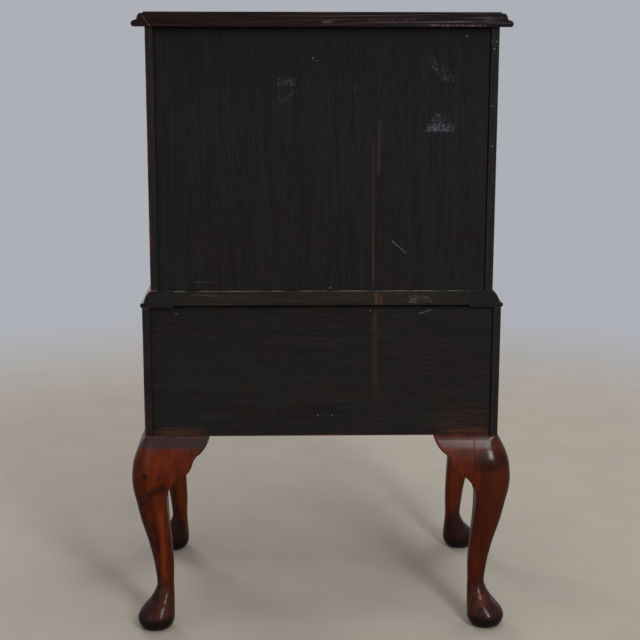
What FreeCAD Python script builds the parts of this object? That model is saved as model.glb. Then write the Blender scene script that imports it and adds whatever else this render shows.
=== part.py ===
import FreeCAD, Part
import math
import os
import re

import Sketcher
from FreeCAD import Placement, Rotation, Vector

# A small chest of three long drawers on a one-drawer stand with cabriole legs.
# X runs to the right seen from the front, the front faces -Y and Z is up.
# The origin lies on the floor, under the middle of the case. All sizes are in millimetres.

SIZES = {
    # the two cases
    "chest_height": 384,
    "chest_setback": 13.5,
    "stand_width": 535,
    "stand_depth": 360,
    "stand_height": 200,
    "leg_height": 310,
    "waist_thick": 25,
    "top_thick": 21,
    # boards
    "side_thick": 18,
    "back_lip": 11.5,
    "back_thick": 6,
    "back_recess": 5,
    "panel_gap": 0.4,
    "rail_thick": 15,
    "rail_depth": 60,
    "stand_rail_thick": 22,
    "housing": 6,
    "runner_width": 22,
    "block_size": 45,
    # cornice and waist
    "cornice_bevel": 9.5,
    "cornice_edge": 1.5,
    "cornice_square": 1.7,
    "cornice_reach": 15.5,
    "thumb_height": 9.2,
    "thumb_lean": 1.1,
    "thumb_round": 4.7,
    "round_reach": 10.7,
    "round_step": 1.5,
    "round_top": 7,
    "round_drop": 0.5,
    "upper_round": 12,
    "back_overhang": 6,
    "waist_board": 47,
    "waist_bead": 7,
    "waist_bead_round": 3.6,
    "waist_step": 3,
    "waist_round": 26,
    "waist_lip": 1,
    "waist_rail_deep": 22,
    "waist_rail_gap": 3,
    "waist_rail_drop": 0.5,
    "rail_tenon": 10,
    "rail_shoulder": 5,
    # legs
    "leg_square": 37.5,
    "knee_swell": 22,
    "ankle_height": 66,
    "ankle_inset": 11,
    "ankle_width": 26,
    "foot_reach": 18.5,
    "foot_width": 57,
    "foot_base": 40,
    "tenon_width": 16,
    "tenon_length": 18,
    "tenon_wall": 1.5,
    "tenon_play": 0.1,
    "bracket_length": 60,
    "bracket_drop": 75,
    "bracket_thick": 18,
    "bracket_seam": 0.3,
    "outer_lobe": 50,
    "bracket_hollow": 38,
    "inner_lobe": 80,
    # drawers
    "top_drawer": 96,
    "middle_drawer": 108,
    "drawer_gap": 5.5,
    "side_play": 1,
    "top_play": 1.4,
    "seat_gap": 0.3,
    "front_thick": 18,
    "front_lap": 6,
    "drawer_side": 8,
    "side_drop": 4,
    "bottom_thick": 5,
    "bottom_rise": 8,
    "groove_depth": 4,
    "bead_width": 3.2,
    "bead_depth": 5,
    "bead_stand": 1.6,
    "stop_width": 30,
    "stop_length": 25,
    "stop_thick": 5,
    # pulls
    "pull_spacing": 250,
    "post_spacing": 60,
    "plate_thick": 1.8,
    "post_radius": 5,
    "post_length": 13,
    "shank_radius": 2.2,
    "shank_end": 4.5,
    "nut_radius": 5.5,
    "nut_thick": 3.5,
    "bail_radius": 1.8,
    "bail_stand": 9.2,
    "socket_radius": 2.1,
    "socket_depth": 4.2,
}

doc = FreeCAD.newDocument("highboy")
sheet = doc.addObject("Spreadsheet::Sheet", "sizes")
for row, (alias, number) in enumerate(SIZES.items(), 1):
    sheet.set(f"A{row}", str(number))
    sheet.setAlias(f"A{row}", alias)
doc.recompute()

ALIASES = re.compile(r"\b(" + "|".join(SIZES) + r")\b")

# places that many pieces share
HALF_CHEST = "(stand_width / 2 - chest_setback)"
HALF_STAND = "(stand_width / 2)"
HALF_DEPTH = "(stand_depth / 2)"
IN_CHEST = "(stand_width / 2 - chest_setback - side_thick)"
IN_STAND = "(stand_width / 2 - side_thick)"
BACK = HALF_DEPTH
STAND_FRONT = "(0 - stand_depth / 2)"
CHEST_FRONT = "(chest_setback - stand_depth / 2)"
PANEL_BACK = "(stand_depth / 2 - back_recess)"
PANEL_FRONT = "(stand_depth / 2 - back_recess - back_thick)"
STAND_TOP = "(leg_height + stand_height)"
WAIST_TOP = "(leg_height + stand_height + waist_thick)"
CHEST_TOP = "(leg_height + stand_height + waist_thick + chest_height)"
WAIST_IN = "(stand_width / 2 - waist_board)"
TENON_INSET = "(side_thick + tenon_wall + tenon_width / 2)"
# how far a blank runs past the part of it that is kept
SPARE = 25


def linked(expression):
    """The expression with each size name turned into a reference to the sheet."""
    return ALIASES.sub(r"sizes.\1", str(expression))


def number_of(expression):
    """What an expression of size names comes to now."""
    return float(sheet.evalExpression(linked(expression)))


def bind(thing, prop, expression):
    thing.setExpression(prop, linked(expression))


def plus_minus(expression):
    """The span that runs equally far each side of the middle."""
    return f"(0 - {expression})", expression


# ---- helpers: boards, outlines and booleans


def board(label, x, y, z):
    """A rectangular board between two places along each axis."""
    box = doc.addObject("Part::Box", "Board")
    box.Label = label
    for prop, axis, (low, high) in zip(("Length", "Width", "Height"), "xyz", (x, y, z)):
        bind(box, prop, f"({high}) - ({low})")
        bind(box, f".Placement.Base.{axis}", low)
    return box


def grouped(label, *pieces):
    """Pieces that stay separate solids under one name."""
    group = doc.addObject("Part::Compound", "Group")
    group.Label = label
    group.Links = list(pieces)
    return group


def fused(label, *pieces):
    fuse = doc.addObject("Part::MultiFuse", "Fuse")
    fuse.Label = label
    fuse.Shapes = list(pieces)
    return fuse


def cut(label, base, *tools):
    """The base less every tool."""
    result = doc.addObject("Part::Cut", "Cut")
    result.Label = label
    result.Base = base
    result.Tool = tools[0] if len(tools) == 1 else fused(f"{label} tools", *tools)
    return result


def mirrored(label, source, normal, base_x="0", base_y="0"):
    """A mirror image in an upright plane."""
    mirror = doc.addObject("Part::Mirroring", "Mirror")
    mirror.Label = label
    mirror.Source = source
    mirror.Normal = normal
    bind(mirror, ".Base.x", base_x)
    bind(mirror, ".Base.y", base_y)
    return mirror


def new_body(label):
    body = doc.addObject("PartDesign::Body", "Body")
    body.Label = label
    return body


def new_sketch(body, plane, offset):
    """A sketch on one of the body's own origin planes, moved along the plane's normal."""
    sketch = body.newObject("Sketcher::SketchObject", "Sketch")
    support = next(f for f in body.Origin.OriginFeatures if f.Role == f"{plane}_Plane")
    sketch.AttachmentSupport = [(support, "")]
    sketch.MapMode = "FlatFace"
    bind(sketch, ".AttachmentOffset.Base.z", offset)
    return sketch


def arc_between(start, end, radius):
    """The short arc between two points, its centre left of the way from start to end if radius > 0."""
    chord = end - start
    left = Vector(-chord.y, chord.x, 0).normalize()
    rise = math.sqrt(radius**2 - (chord.Length / 2) ** 2)
    centre = start + chord / 2 + left * math.copysign(rise, radius)
    first, last = (start, end) if radius > 0 else (end, start)
    angles = [math.atan2(p.y - centre.y, p.x - centre.x) for p in (first, last)]
    return Part.ArcOfCircle(Part.Circle(centre, Vector(0, 0, 1), abs(radius)), *angles)


def draw(sketch, corners, closed=True):
    """Lines and arcs through the corners: (across, up), then, for an arc, its turn and its radius."""
    points = [Vector(number_of(c[0]), number_of(c[1]), 0) for c in corners]
    count = len(points)
    ends = []
    for i in range(count if closed else count - 1):
        start, end = points[i], points[(i + 1) % count]
        if len(corners[i]) == 4:
            turn, size = corners[i][2:]
            radius = number_of(size)
            edge = sketch.addGeometry(arc_between(start, end, turn * radius))
            index = sketch.addConstraint(Sketcher.Constraint("Radius", edge, radius))
            bind(sketch, f"Constraints[{index}]", size)
            ends.append((edge, 1, 2) if turn > 0 else (edge, 2, 1))
        else:
            ends.append((sketch.addGeometry(Part.LineSegment(start, end)), 1, 2))
    for i, (edge, first, last) in enumerate(ends):
        follower = ends[(i + 1) % len(ends)]
        if closed or i + 1 < len(ends):
            sketch.addConstraint(Sketcher.Constraint("Coincident", edge, last, follower[0], follower[1]))
    anchors = [(edge, first) for edge, first, last in ends]
    if not closed:
        anchors.append((ends[-1][0], ends[-1][2]))
    for (edge, vertex), point, corner in zip(anchors, points, corners):
        for kind, size, expression in (("DistanceX", point.x, corner[0]), ("DistanceY", point.y, corner[1])):
            index = sketch.addConstraint(Sketcher.Constraint(kind, -1, 1, edge, vertex, size))
            bind(sketch, f"Constraints[{index}]", expression)


def padded(label, plane, low, high, corners):
    """An outline in a plane (XY, XZ or YZ), made solid from low to high across that plane."""
    body = new_body(label)
    sketch = new_sketch(body, plane, f"0 - ({high})" if plane == "XZ" else low)
    draw(sketch, corners)
    pad = body.newObject("PartDesign::Pad", "Pad")
    pad.Profile = sketch
    bind(pad, "Length", f"({high}) - ({low})")
    return body


# ---- mouldings: the cornice round the top board and the waist between chest and stand


def waist_profile(face, base, side):
    """The waist board's section: flat inside, a bead at the lower edge and an ovolo up to the chest."""
    shape = [
        ("0 - waist_board", "0"),
        ("0", "0", 1, "waist_bead_round"),
        ("0", "waist_bead"),
        ("0 - waist_step", "waist_bead", 1, "waist_round"),
        ("waist_lip - chest_setback", "waist_thick"),
        ("0 - waist_board", "waist_thick"),
    ]
    return placed_profile(shape, face, base, side)


def cornice_profile(face, base, side):
    """The cornice strip's section: a glue bevel inside, then a thumb moulding and a small round above it."""
    shape = [
        ("0 - cornice_bevel", "0"),
        ("cornice_reach", "0", 1, "thumb_round"),
        ("cornice_reach - thumb_lean", "thumb_height"),
        ("round_reach", "thumb_height + round_step", 1, "upper_round"),
        ("round_top", "top_thick - cornice_square - round_drop"),
        ("cornice_edge", "top_thick - cornice_square"),
    ]
    return placed_profile(shape, face, base, side)


def placed_profile(shape, face, base, side):
    """A moulding's section moved to a case face on one side (+1) or its opposite (-1)."""
    corners = []
    for out, up, *arc in shape:
        corners.append((f"{side} * ({face} + {out})", f"{base} + {up}", *arc))
        if arc:
            corners[-1] = (*corners[-1][:2], side * arc[0], arc[1])
    return corners


def mitre_tools(corner_x, corner_y, low, high):
    """Two triangular prisms that meet on the 45 degree plane through a front right corner."""
    outer = (f"{corner_x} + {SPARE}", f"{corner_y} - {SPARE}")
    inner = (f"{corner_x} - waist_board - {SPARE}", f"{corner_y} + waist_board + {SPARE}")
    front_corner = (inner[0], outer[1])
    side_corner = (outer[0], inner[1])
    for_side = padded("Side mitre", "XY", low, high, [outer, inner, front_corner])
    for_front = padded("Front mitre", "XY", low, high, [outer, side_corner, inner])
    return for_side, for_front


def moulding_set(name, face_x, face_y, low, high, back, side_corners, front_corners, side_tools=()):
    """Front, left and right lengths of one moulding, mitred at the two front corners."""
    for_side, for_front = mitre_tools(face_x, f"(0 - {face_y})", f"{low} - {SPARE}", f"{high} + {SPARE}")
    spare_front = f"0 - {face_y} - {SPARE}"
    run = padded(f"{name} side run", "XZ", spare_front, back, side_corners)
    right = cut(f"{name}_right", run, for_side, *side_tools)
    left = mirrored(f"{name}_left", right, Vector(1, 0, 0))
    long_span = plus_minus(f"({face_x} + {SPARE})")
    run = padded(f"{name} front run", "YZ", *long_span, front_corners)
    other = mirrored("Front mitre left", for_front, Vector(1, 0, 0))
    front = cut(f"{name}_front", run, for_front, other)
    return [front, left, right]


def top_and_cornice():
    """The top board with its bevelled edges and the moulding strips glued to the bevels."""
    wedge = doc.addObject("Part::Wedge", "Wedge")
    wedge.Label = "Top bevels"
    wedge.Placement = Placement(Vector(0, 0, 0), Rotation(Vector(1, 0, 0), 90))
    bind(wedge, ".Placement.Base.z", CHEST_TOP)
    rear = f"(0 - {BACK} - back_overhang)"
    spans = {
        "Xmin": f"cornice_bevel - {HALF_CHEST}",
        "Xmax": f"{HALF_CHEST} - cornice_bevel",
        "X2min": f"0 - {HALF_CHEST} - cornice_edge",
        "X2max": f"{HALF_CHEST} + cornice_edge",
        "Ymax": "top_thick - cornice_square",
        "Zmin": rear,
        "Z2min": rear,
        "Zmax": f"0 - {CHEST_FRONT} - cornice_bevel",
        "Z2max": f"0 - {CHEST_FRONT} + cornice_edge",
    }
    wedge.Ymin = 0
    for prop, expression in spans.items():
        bind(wedge, prop, expression)
    slab = board(
        "Top slab",
        plus_minus(f"({HALF_CHEST} + cornice_edge)"),
        (f"{CHEST_FRONT} - cornice_edge", f"{BACK} + back_overhang"),
        (f"{CHEST_TOP} + top_thick - cornice_square", f"{CHEST_TOP} + top_thick"),
    )
    front_face = f"(0 - {CHEST_FRONT})"
    strips = moulding_set(
        "cornice",
        HALF_CHEST,
        front_face,
        CHEST_TOP,
        f"{CHEST_TOP} + top_thick",
        f"{BACK} + back_overhang",
        cornice_profile(HALF_CHEST, CHEST_TOP, 1),
        cornice_profile(front_face, CHEST_TOP, -1),
    )
    return [fused("top_board", wedge, slab), *strips]


def waist():
    """The moulded frame on top of the stand: three mitred boards and a plain back rail."""
    rail = fused(
        "waist_back_rail",
        board(
            "Waist rail",
            plus_minus(WAIST_IN),
            (f"{BACK} - waist_rail_deep", BACK),
            (f"{STAND_TOP} + waist_rail_gap", f"{WAIST_TOP} - waist_rail_drop"),
        ),
        board(
            "Waist rail tenons",
            plus_minus(f"({WAIST_IN} + rail_tenon)"),
            (f"{BACK} - waist_rail_deep + rail_shoulder", f"{BACK} - rail_shoulder"),
            (f"{STAND_TOP} + waist_rail_gap + rail_shoulder", f"{WAIST_TOP} - rail_shoulder"),
        ),
    )
    boards = moulding_set(
        "waist_moulding",
        HALF_STAND,
        HALF_DEPTH,
        STAND_TOP,
        WAIST_TOP,
        BACK,
        waist_profile(HALF_STAND, STAND_TOP, 1),
        waist_profile(HALF_DEPTH, STAND_TOP, -1),
        [rail],
    )
    return [rail, *boards]


# ---- the two cases


def side_pair(name, inside, outside, front, z, housed):
    """Right and left case sides, rebated for the back panel and housed for what runs between them."""
    blank = board(f"{name} blank", (inside, outside), (front, BACK), z)
    rebate = board(f"{name} rebate", (inside, f"{outside} - back_lip"), (PANEL_FRONT, BACK), z)
    right = cut(f"{name}_right", blank, rebate, *housed)
    return [right, mirrored(f"{name}_left", right, Vector(1, 0, 0))]


def back_panel(label, half_width, z):
    return board(label, plus_minus(f"({half_width} - back_lip - panel_gap)"), (PANEL_FRONT, PANEL_BACK), z)


def runner_pair(inside, z, y):
    """The two strips that carry or steady a drawer's sides."""
    right = board("Runner right", (f"{inside} - runner_width", inside), y, z)
    return [right, mirrored("Runner left", right, Vector(1, 0, 0))]


def stop_pair(front, floor):
    """Two small blocks behind a drawer front that stop it flush with the case."""
    y = (f"{front} + front_thick + seat_gap", f"{front} + front_thick + seat_gap + stop_length")
    x = ("pull_spacing / 2 - stop_width / 2", "pull_spacing / 2 + stop_width / 2")
    right = board("Stop right", x, y, (floor, f"{floor} + stop_thick"))
    return [right, mirrored("Stop left", right, Vector(1, 0, 0))]


def drawer_levels():
    """The opening of each chest drawer, lowest first, as (name, floor, ceiling)."""
    low_floor = f"({WAIST_TOP} + rail_thick)"
    top_ceiling = f"({CHEST_TOP} - rail_thick)"
    top_floor = f"({top_ceiling} - top_drawer)"
    middle_ceiling = f"({top_floor} - rail_thick)"
    middle_floor = f"({middle_ceiling} - middle_drawer)"
    low_ceiling = f"({middle_floor} - rail_thick)"
    return [
        ("lower", low_floor, low_ceiling),
        ("middle", middle_floor, middle_ceiling),
        ("upper", top_floor, top_ceiling),
    ]


def chest():
    """The upper case: sides, bottom, front rails, runners, kickers and back."""
    levels = drawer_levels()
    width = plus_minus(f"({IN_CHEST} + housing)")
    rail_y = (CHEST_FRONT, f"{CHEST_FRONT} + rail_depth")
    runner_y = (f"{CHEST_FRONT} + rail_depth", PANEL_FRONT)
    bottom = board("chest_bottom_board", width, (CHEST_FRONT, PANEL_FRONT), (WAIST_TOP, levels[0][1]))
    rails = [
        board("chest_rail_lower", width, rail_y, (levels[0][2], levels[1][1])),
        board("chest_rail_upper", width, rail_y, (levels[1][2], levels[2][1])),
        board("chest_top_rail", width, rail_y, (levels[2][2], CHEST_TOP)),
    ]
    strips = []
    for low, high in ((levels[0][2], levels[1][1]), (levels[1][2], levels[2][1]), (levels[2][2], CHEST_TOP)):
        strips += runner_pair(IN_CHEST, (low, high), runner_y)
    sides = side_pair(
        "chest_side", IN_CHEST, HALF_CHEST, CHEST_FRONT, (WAIST_TOP, CHEST_TOP), [bottom, *rails]
    )
    back = back_panel("chest_back_panel", HALF_CHEST, (WAIST_TOP, CHEST_TOP))
    return [bottom, *rails, grouped("chest_runners", *strips), *sides, back]


def tenon(label, y, play):
    """The square tenon on top of a right leg, or, with play round it, the mortise that takes it."""
    half = f"(tenon_width / 2 + {play})"
    x = f"({HALF_STAND} - {TENON_INSET})"
    spans = [(f"{place} - {half}", f"{place} + {half}") for place in (x, y)]
    return board(label, *spans, ("leg_height", f"leg_height + tenon_length + {play}"))


def stand():
    """The lower case: sides, two front rails, runners, corner blocks over the rear legs and back."""
    width = plus_minus(f"({IN_STAND} + housing)")
    rail_y = (STAND_FRONT, f"{STAND_FRONT} + rail_depth")
    floor = "(leg_height + stand_rail_thick)"
    block_front = f"({PANEL_FRONT} - block_size)"
    plain_rail = board("Stand rail blank", width, rail_y, ("leg_height", floor))
    front_mortise = tenon("Front mortise", f"({STAND_FRONT} + {TENON_INSET})", "tenon_play")
    other_mortise = mirrored("Front mortise left", front_mortise, Vector(1, 0, 0))
    bottom_rail = cut("stand_bottom_rail", plain_rail, front_mortise, other_mortise)
    top_rail = board("stand_top_rail", width, rail_y, (f"{STAND_TOP} - rail_thick", STAND_TOP))
    block = board(
        "Block blank",
        (f"{IN_STAND} - block_size", IN_STAND),
        (block_front, PANEL_FRONT),
        ("leg_height", floor),
    )
    block = cut("Block right", block, tenon("Rear mortise", f"({BACK} - {TENON_INSET})", "tenon_play"))
    blocks = grouped("stand_corner_blocks", block, mirrored("Block left", block, Vector(1, 0, 0)))
    runners = runner_pair(IN_STAND, (f"{floor} - rail_thick", floor), (rail_y[1], block_front))
    sides = side_pair(
        "stand_side", IN_STAND, HALF_STAND, STAND_FRONT, ("leg_height", STAND_TOP), [plain_rail, top_rail]
    )
    back = back_panel("stand_back_panel", HALF_STAND, ("leg_height", STAND_TOP))
    return [bottom_rail, top_rail, blocks, grouped("stand_runners", *runners), *sides, back]


# ---- cabriole legs and knee brackets

# Each station: height, inner face, outer face and, above the ankle, how far the outer corner, the two side
# corners and the inner corner are rounded. Faces are measured outwards from the case's faces. Above the
# ankle the height is a share of the way from ankle to case, below it a share of the ankle's height.
KNEE_STATIONS = [
    (1.00, "0 - leg_square", "0", 3, 2, 3),
    (0.96, "0 - leg_square", "0.32 * knee_swell", 7, 2, 3),
    (0.90, "0 - leg_square", "0.66 * knee_swell", 12, 2, 3),
    (0.82, "0 - leg_square", "0.93 * knee_swell", 15, 2, 3),
    (0.74, "0 - leg_square", "knee_swell", 16, 3, 4),
    (0.67, "2.5 - leg_square", "0.92 * knee_swell", 16, 6, 6),
    (0.60, "6 - leg_square", "0.74 * knee_swell", 15, 9, 8),
    (0.45, "4.5 - leg_square", "0.39 * knee_swell", 14, 11, 11),
    (0.27, "1 - leg_square", "0 - 0.10 * knee_swell", 13.5, 12.5, 12.5),
    (0.12, "0 - leg_square - 0.5", "0 - 0.39 * knee_swell", 13.5, 13, 13),
]
FOOT_MIDDLE = "(foot_reach - foot_width / 2)"
FOOT_STATIONS = [
    (1.00, "0 - ankle_inset - ankle_width", "0 - ankle_inset"),
    (0.86, "0 - ankle_inset - ankle_width - 0.7", "2.5 - ankle_inset"),
    (0.68, "foot_reach - foot_width + 0.6", "foot_reach - 20"),
    (0.52, "foot_reach - foot_width + 0.1", "foot_reach - 9.5"),
    (0.38, "foot_reach - foot_width", "foot_reach - 2.6"),
    (0.27, "foot_reach - foot_width", "foot_reach"),
    (0.15, "foot_reach - foot_width + 2", "foot_reach - 2"),
    (0.05, f"{FOOT_MIDDLE} - foot_base / 2 - 1.5", f"{FOOT_MIDDLE} + foot_base / 2 + 1.5"),
    (0.00, f"{FOOT_MIDDLE} - foot_base / 2", f"{FOOT_MIDDLE} + foot_base / 2"),
]
# The rounding of each corner below the ankle, as a share of half the width: nearly a circle
FOOT_ROUND = 0.94


def leg_ring(height, inner, outer, roundings):
    """A station's sixteen points: a square with each corner rounded in three chords."""
    z, low, high = number_of(height), number_of(inner), number_of(outer)
    outer_round, side_round, inner_round = roundings
    insets = [(1 - math.cos(math.radians(a)), 1 - math.sin(math.radians(a))) for a in (0, 30, 60, 90)]
    ring = []
    for right, up, size in ((1, 1, outer_round), (0, 1, side_round), (0, 0, inner_round), (1, 0, side_round)):
        for inset_x, inset_y in insets if right == up else reversed(insets):
            x = high - inset_x * size if right else low + inset_x * size
            y = high - inset_y * size if up else low + inset_y * size
            ring.append(Vector(number_of(HALF_STAND) + x, number_of(HALF_DEPTH) + y, z))
    return ring


def facet(points):
    return Part.Face(Part.makePolygon([*points, points[0]]))


def leg(label):
    """The rear right leg: knee, shank and pad foot in flat facets, with a square tenon on top.

    The sides of every ring keep their directions, so each facet between two rings is flat.
    """
    rings = []
    for share, inner, outer, *roundings in KNEE_STATIONS:
        height = f"ankle_height + {share} * (leg_height - ankle_height)"
        rings.append(leg_ring(height, inner, outer, roundings))
    for share, inner, outer in FOOT_STATIONS:
        half = number_of(f"(({outer}) - ({inner})) / 2")
        rings.append(leg_ring(f"{share} * ankle_height", inner, outer, [FOOT_ROUND * half] * 3))
    facets = [facet(rings[0]), facet(rings[-1])]
    for above, below in zip(rings, rings[1:]):
        for k in range(len(above)):
            after = (k + 1) % len(above)
            facets.append(facet([above[k], above[after], below[after], below[k]]))
    carved = doc.addObject("Part::Feature", "Carving")
    carved.Label = "Carved leg"
    solid = Part.Solid(Part.Shell(facets))
    solid.fix(1e-6, 1e-6, 1e-6)
    carved.Shape = solid
    return fused(label, carved, tenon("Leg tenon", f"({BACK} - {TENON_INSET})", "0"))


def knee_bracket(label):
    """The bracket along the back at the rear right leg, band-sawn twice.

    One cut gives its face the knee's swell, the other gives its lower edge a lobe, a hollow and a lobe.
    """
    end = f"({HALF_STAND} - leg_square - bracket_seam)"
    inside = f"({HALF_DEPTH} - bracket_thick)"
    swell = [(inside, "leg_height")]
    for share, _, outer, *_ in KNEE_STATIONS[:6]:
        swell.append((f"{HALF_DEPTH} + {outer}", f"ankle_height + {share} * (leg_height - ankle_height)"))
    swell.append((inside, swell[-1][1]))
    swelled = padded("Swelled block", "YZ", f"{end} - bracket_length", end, swell)
    outline = [
        (end, "leg_height"),
        (f"{end} - bracket_length", "leg_height", 1, "outer_lobe"),
        (f"{end} - 0.7 * bracket_length", "leg_height - 0.37 * bracket_drop", -1, "bracket_hollow"),
        (f"{end} - 0.5 * bracket_length", "leg_height - 0.61 * bracket_drop", 1, "inner_lobe"),
        (end, "leg_height - bracket_drop"),
    ]
    sawn = padded("Sawn outline", "XZ", inside, f"{HALF_DEPTH} + knee_swell + 1", outline)
    bracket = doc.addObject("Part::Common", "Bracket")
    bracket.Label = label
    bracket.Base = swelled
    bracket.Tool = sawn
    return bracket


def legs_and_brackets():
    """Four legs, and two brackets at each, all from the rear right corner by mirroring."""
    first_leg = leg("leg_rear_right")
    along_back = knee_bracket("Bracket along back")
    along_side = mirrored("Bracket along side", along_back, Vector(1, -1, 0), HALF_STAND, HALF_DEPTH)
    first_pair = grouped("knee_brackets_rear_right", along_back, along_side)
    nodes = []
    for name, rear_right in (("leg", first_leg), ("knee_brackets", first_pair)):
        rear_left = mirrored(f"{name}_rear_left", rear_right, Vector(1, 0, 0))
        front_right = mirrored(f"{name}_front_right", rear_right, Vector(0, 1, 0))
        front_left = mirrored(f"{name}_front_left", rear_left, Vector(0, 1, 0))
        nodes += [rear_right, rear_left, front_right, front_left]
    return nodes


# ---- drawers


def tail_corners(base, end, low, high, count, upwards):
    """The dovetail tails on a drawer side's end, as outline corners from the baseline out and back."""
    pitch = f"(({high} - {low}) / {count})"
    flare = f"(abs({end} - {base}) / 7)"
    order = range(count) if upwards else range(count - 1, -1, -1)
    corners = []
    for k in order:
        middle = f"({low} + {pitch} * {k + 0.5})"
        near, far = ("-", "+") if upwards else ("+", "-")
        corners += [
            (base, f"{middle} {near} 0.28 * {pitch}"),
            (end, f"{middle} {near} (0.28 * {pitch} + {flare})"),
            (end, f"{middle} {far} (0.28 * {pitch} + {flare})"),
            (base, f"{middle} {far} 0.28 * {pitch}"),
        ]
    return corners


def drawer(name, inside, face, floor, ceiling, tails):
    """One dovetailed drawer with a beaded front, its pulls' fittings and its two bails."""
    low, high = f"({floor} + seat_gap)", f"({ceiling} - top_play)"
    half = f"({inside} - side_play)"
    front_back = f"({face} + front_thick)"
    end = f"({PANEL_FRONT} - drawer_gap)"
    side_top = f"({high} - side_drop)"
    back_low = f"({low} + bottom_rise + bottom_thick)"
    back_front = f"({end} - drawer_side)"
    panel = board(
        f"{name}_bottom",
        plus_minus(f"({half} - drawer_side + groove_depth)"),
        (f"{front_back} - groove_depth", end),
        (f"{low} + bottom_rise", back_low),
    )
    outline = [(front_back, low), (end, low), (end, back_low), (back_front, back_low)]
    outline += tail_corners(back_front, end, back_low, side_top, tails, True)
    outline += [(back_front, side_top), (front_back, side_top)]
    outline += tail_corners(front_back, f"({face} + front_lap)", low, side_top, tails, False)
    plain_right = padded(f"{name} side", "YZ", f"{half} - drawer_side", half, outline)
    plain_left = mirrored(f"{name} side left", plain_right, Vector(1, 0, 0))
    right = cut(f"{name} right side", plain_right, panel)
    left = cut(f"{name} left side", plain_left, panel)
    back = board(f"{name} back blank", plus_minus(half), (back_front, end), (back_low, side_top))
    opening = f"({half} - bead_width)"
    bead_y = (f"{face} - bead_stand", f"{face} + bead_depth")
    bead = cut(
        f"{name} bead",
        board("Bead outside", plus_minus(half), bead_y, (low, high)),
        board("Bead inside", plus_minus(opening), bead_y, (f"{low} + bead_width", f"{high} - bead_width")),
    )
    blank = board(f"{name} front blank", plus_minus(half), (face, front_back), (low, high))
    middle = f"(({floor} + {ceiling}) / 2)"
    fittings, shanks, bails = [], [], []
    for side, sign in (("left", "-"), ("right", "+")):
        place = f"(0 {sign} pull_spacing / 2)"
        parts, holes = pull_fittings(place, face, front_back, middle)
        fittings += parts
        shanks += holes
        bails.append(bail(f"{name}_bail_{side}", place, f"({face} - plate_thick - bail_stand)", middle))
    front = cut(f"{name} front", blank, plain_right, plain_left, panel, bead, *shanks)
    return [
        grouped(f"{name}_front", front, bead),
        grouped(f"{name}_sides", left, right),
        cut(f"{name}_back", back, plain_right, plain_left),
        panel,
        grouped(f"{name}_pull_fittings", *fittings),
        *bails,
    ]


# ---- pulls

# Half of the plate's outline from the top middle to the bottom middle: across, up, arc's turn and radius
PLATE_HALF = [(0, 20, -1, 13), (12, 12, -1, 24), (43, -2), (22, -15, -1, 12), (0, -21)]
# Half of the bail's centre line from its pin to the bottom middle: across and up from the pull's middle
BAIL_HALF = [(31.2, 0), (37.8, 0), (40.2, -3.2), (40.4, -9.5), (37.2, -16.5), (30.2, -21.5), (17, -24.5)]


def rod(label, start, turn, radius, length, sides):
    """A many-sided rod that starts at a place and runs the way that the turn takes +Z."""
    piece = doc.addObject("Part::Prism", "Rod")
    piece.Label = label
    piece.Placement = Placement(Vector(0, 0, 0), turn)
    for axis, expression in zip("xyz", start):
        bind(piece, f".Placement.Base.{axis}", expression)
    bind(piece, "Circumradius", radius)
    bind(piece, "Height", length)
    piece.Polygon = sides
    return piece


def pull_fittings(place, face, front_back, middle):
    """A backplate and two posts with their shanks and nuts; also the shanks, to drill the front with."""
    points = [(x, z) for x, z, *_ in PLATE_HALF]
    arcs = [arc for _, _, *arc in PLATE_HALF[:-1]]
    outline = points + [(-x, z) for x, z in points[-2:0:-1]]
    corners = []
    for (x, z), arc in zip(outline, arcs + arcs[::-1]):
        corners.append((f"{place} + ({x})", f"{middle} + {z}", *arc))
    plate = padded("Backplate blank", "XZ", f"{face} - plate_thick", face, corners)
    forwards = Rotation(Vector(1, 0, 0), 90)
    flat_up = Rotation(Vector(0, 0, 1), 22.5)
    plate_face = f"{face} - plate_thick"
    posts, shanks, nuts = [], [], []
    for sign in (-1, 1):
        x = f"({place} + {sign} * post_spacing / 2)"
        shank_back = f"({front_back} + shank_end)"
        shank_length = f"{shank_back} - ({plate_face})"
        shank = rod("Shank", (x, shank_back, middle), forwards, "shank_radius", shank_length, 6)
        head = rod("Head", (x, plate_face, middle), forwards * flat_up, "post_radius", "post_length", 8)
        bottom = f"{x} + {sign} * (post_radius - socket_depth)"
        pin_y = f"{plate_face} - bail_stand"
        sideways = Rotation(Vector(0, 1, 0), 90 * sign) * flat_up
        socket = rod("Socket", (bottom, pin_y, middle), sideways, "socket_radius", "socket_depth + 1", 8)
        nut_back = f"{front_back} + nut_thick"
        nut = rod("Nut blank", (x, nut_back, middle), forwards, "nut_radius", "nut_thick", 6)
        posts.append(cut("Post", fused("Post blank", head, shank), socket))
        nuts.append(cut("Nut", nut, shank))
        shanks.append(shank)
    return [cut("Backplate", plate, *shanks), *posts, *nuts], shanks


def bail(label, place, y, middle):
    """A bail handle of wire with a swan-neck outline, hanging from its two pins."""
    body = new_body(label)
    half = [(f"{place} + {across}", f"{middle} + {up}") for across, up in BAIL_HALF]
    other = [(f"{place} - {across}", f"{middle} + {up}") for across, up in reversed(BAIL_HALF)]
    spine = new_sketch(body, "XZ", f"0 - {y}")
    draw(spine, half + other, closed=False)
    ring = new_sketch(body, "YZ", f"{place} + {BAIL_HALF[0][0]}")
    around = [math.radians(22.5 + 45 * k) for k in range(8)]
    corners = []
    for angle in around:
        corners.append(
            (f"{y} + {math.cos(angle):.5f} * bail_radius", f"{middle} + {math.sin(angle):.5f} * bail_radius")
        )
    draw(ring, corners)
    doc.recompute()
    pipe = body.newObject("PartDesign::AdditivePipe", "Pipe")
    pipe.Profile = ring
    pipe.Spine = spine
    pipe.Transition = "Right corner"
    return body


# ---- the whole piece


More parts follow.
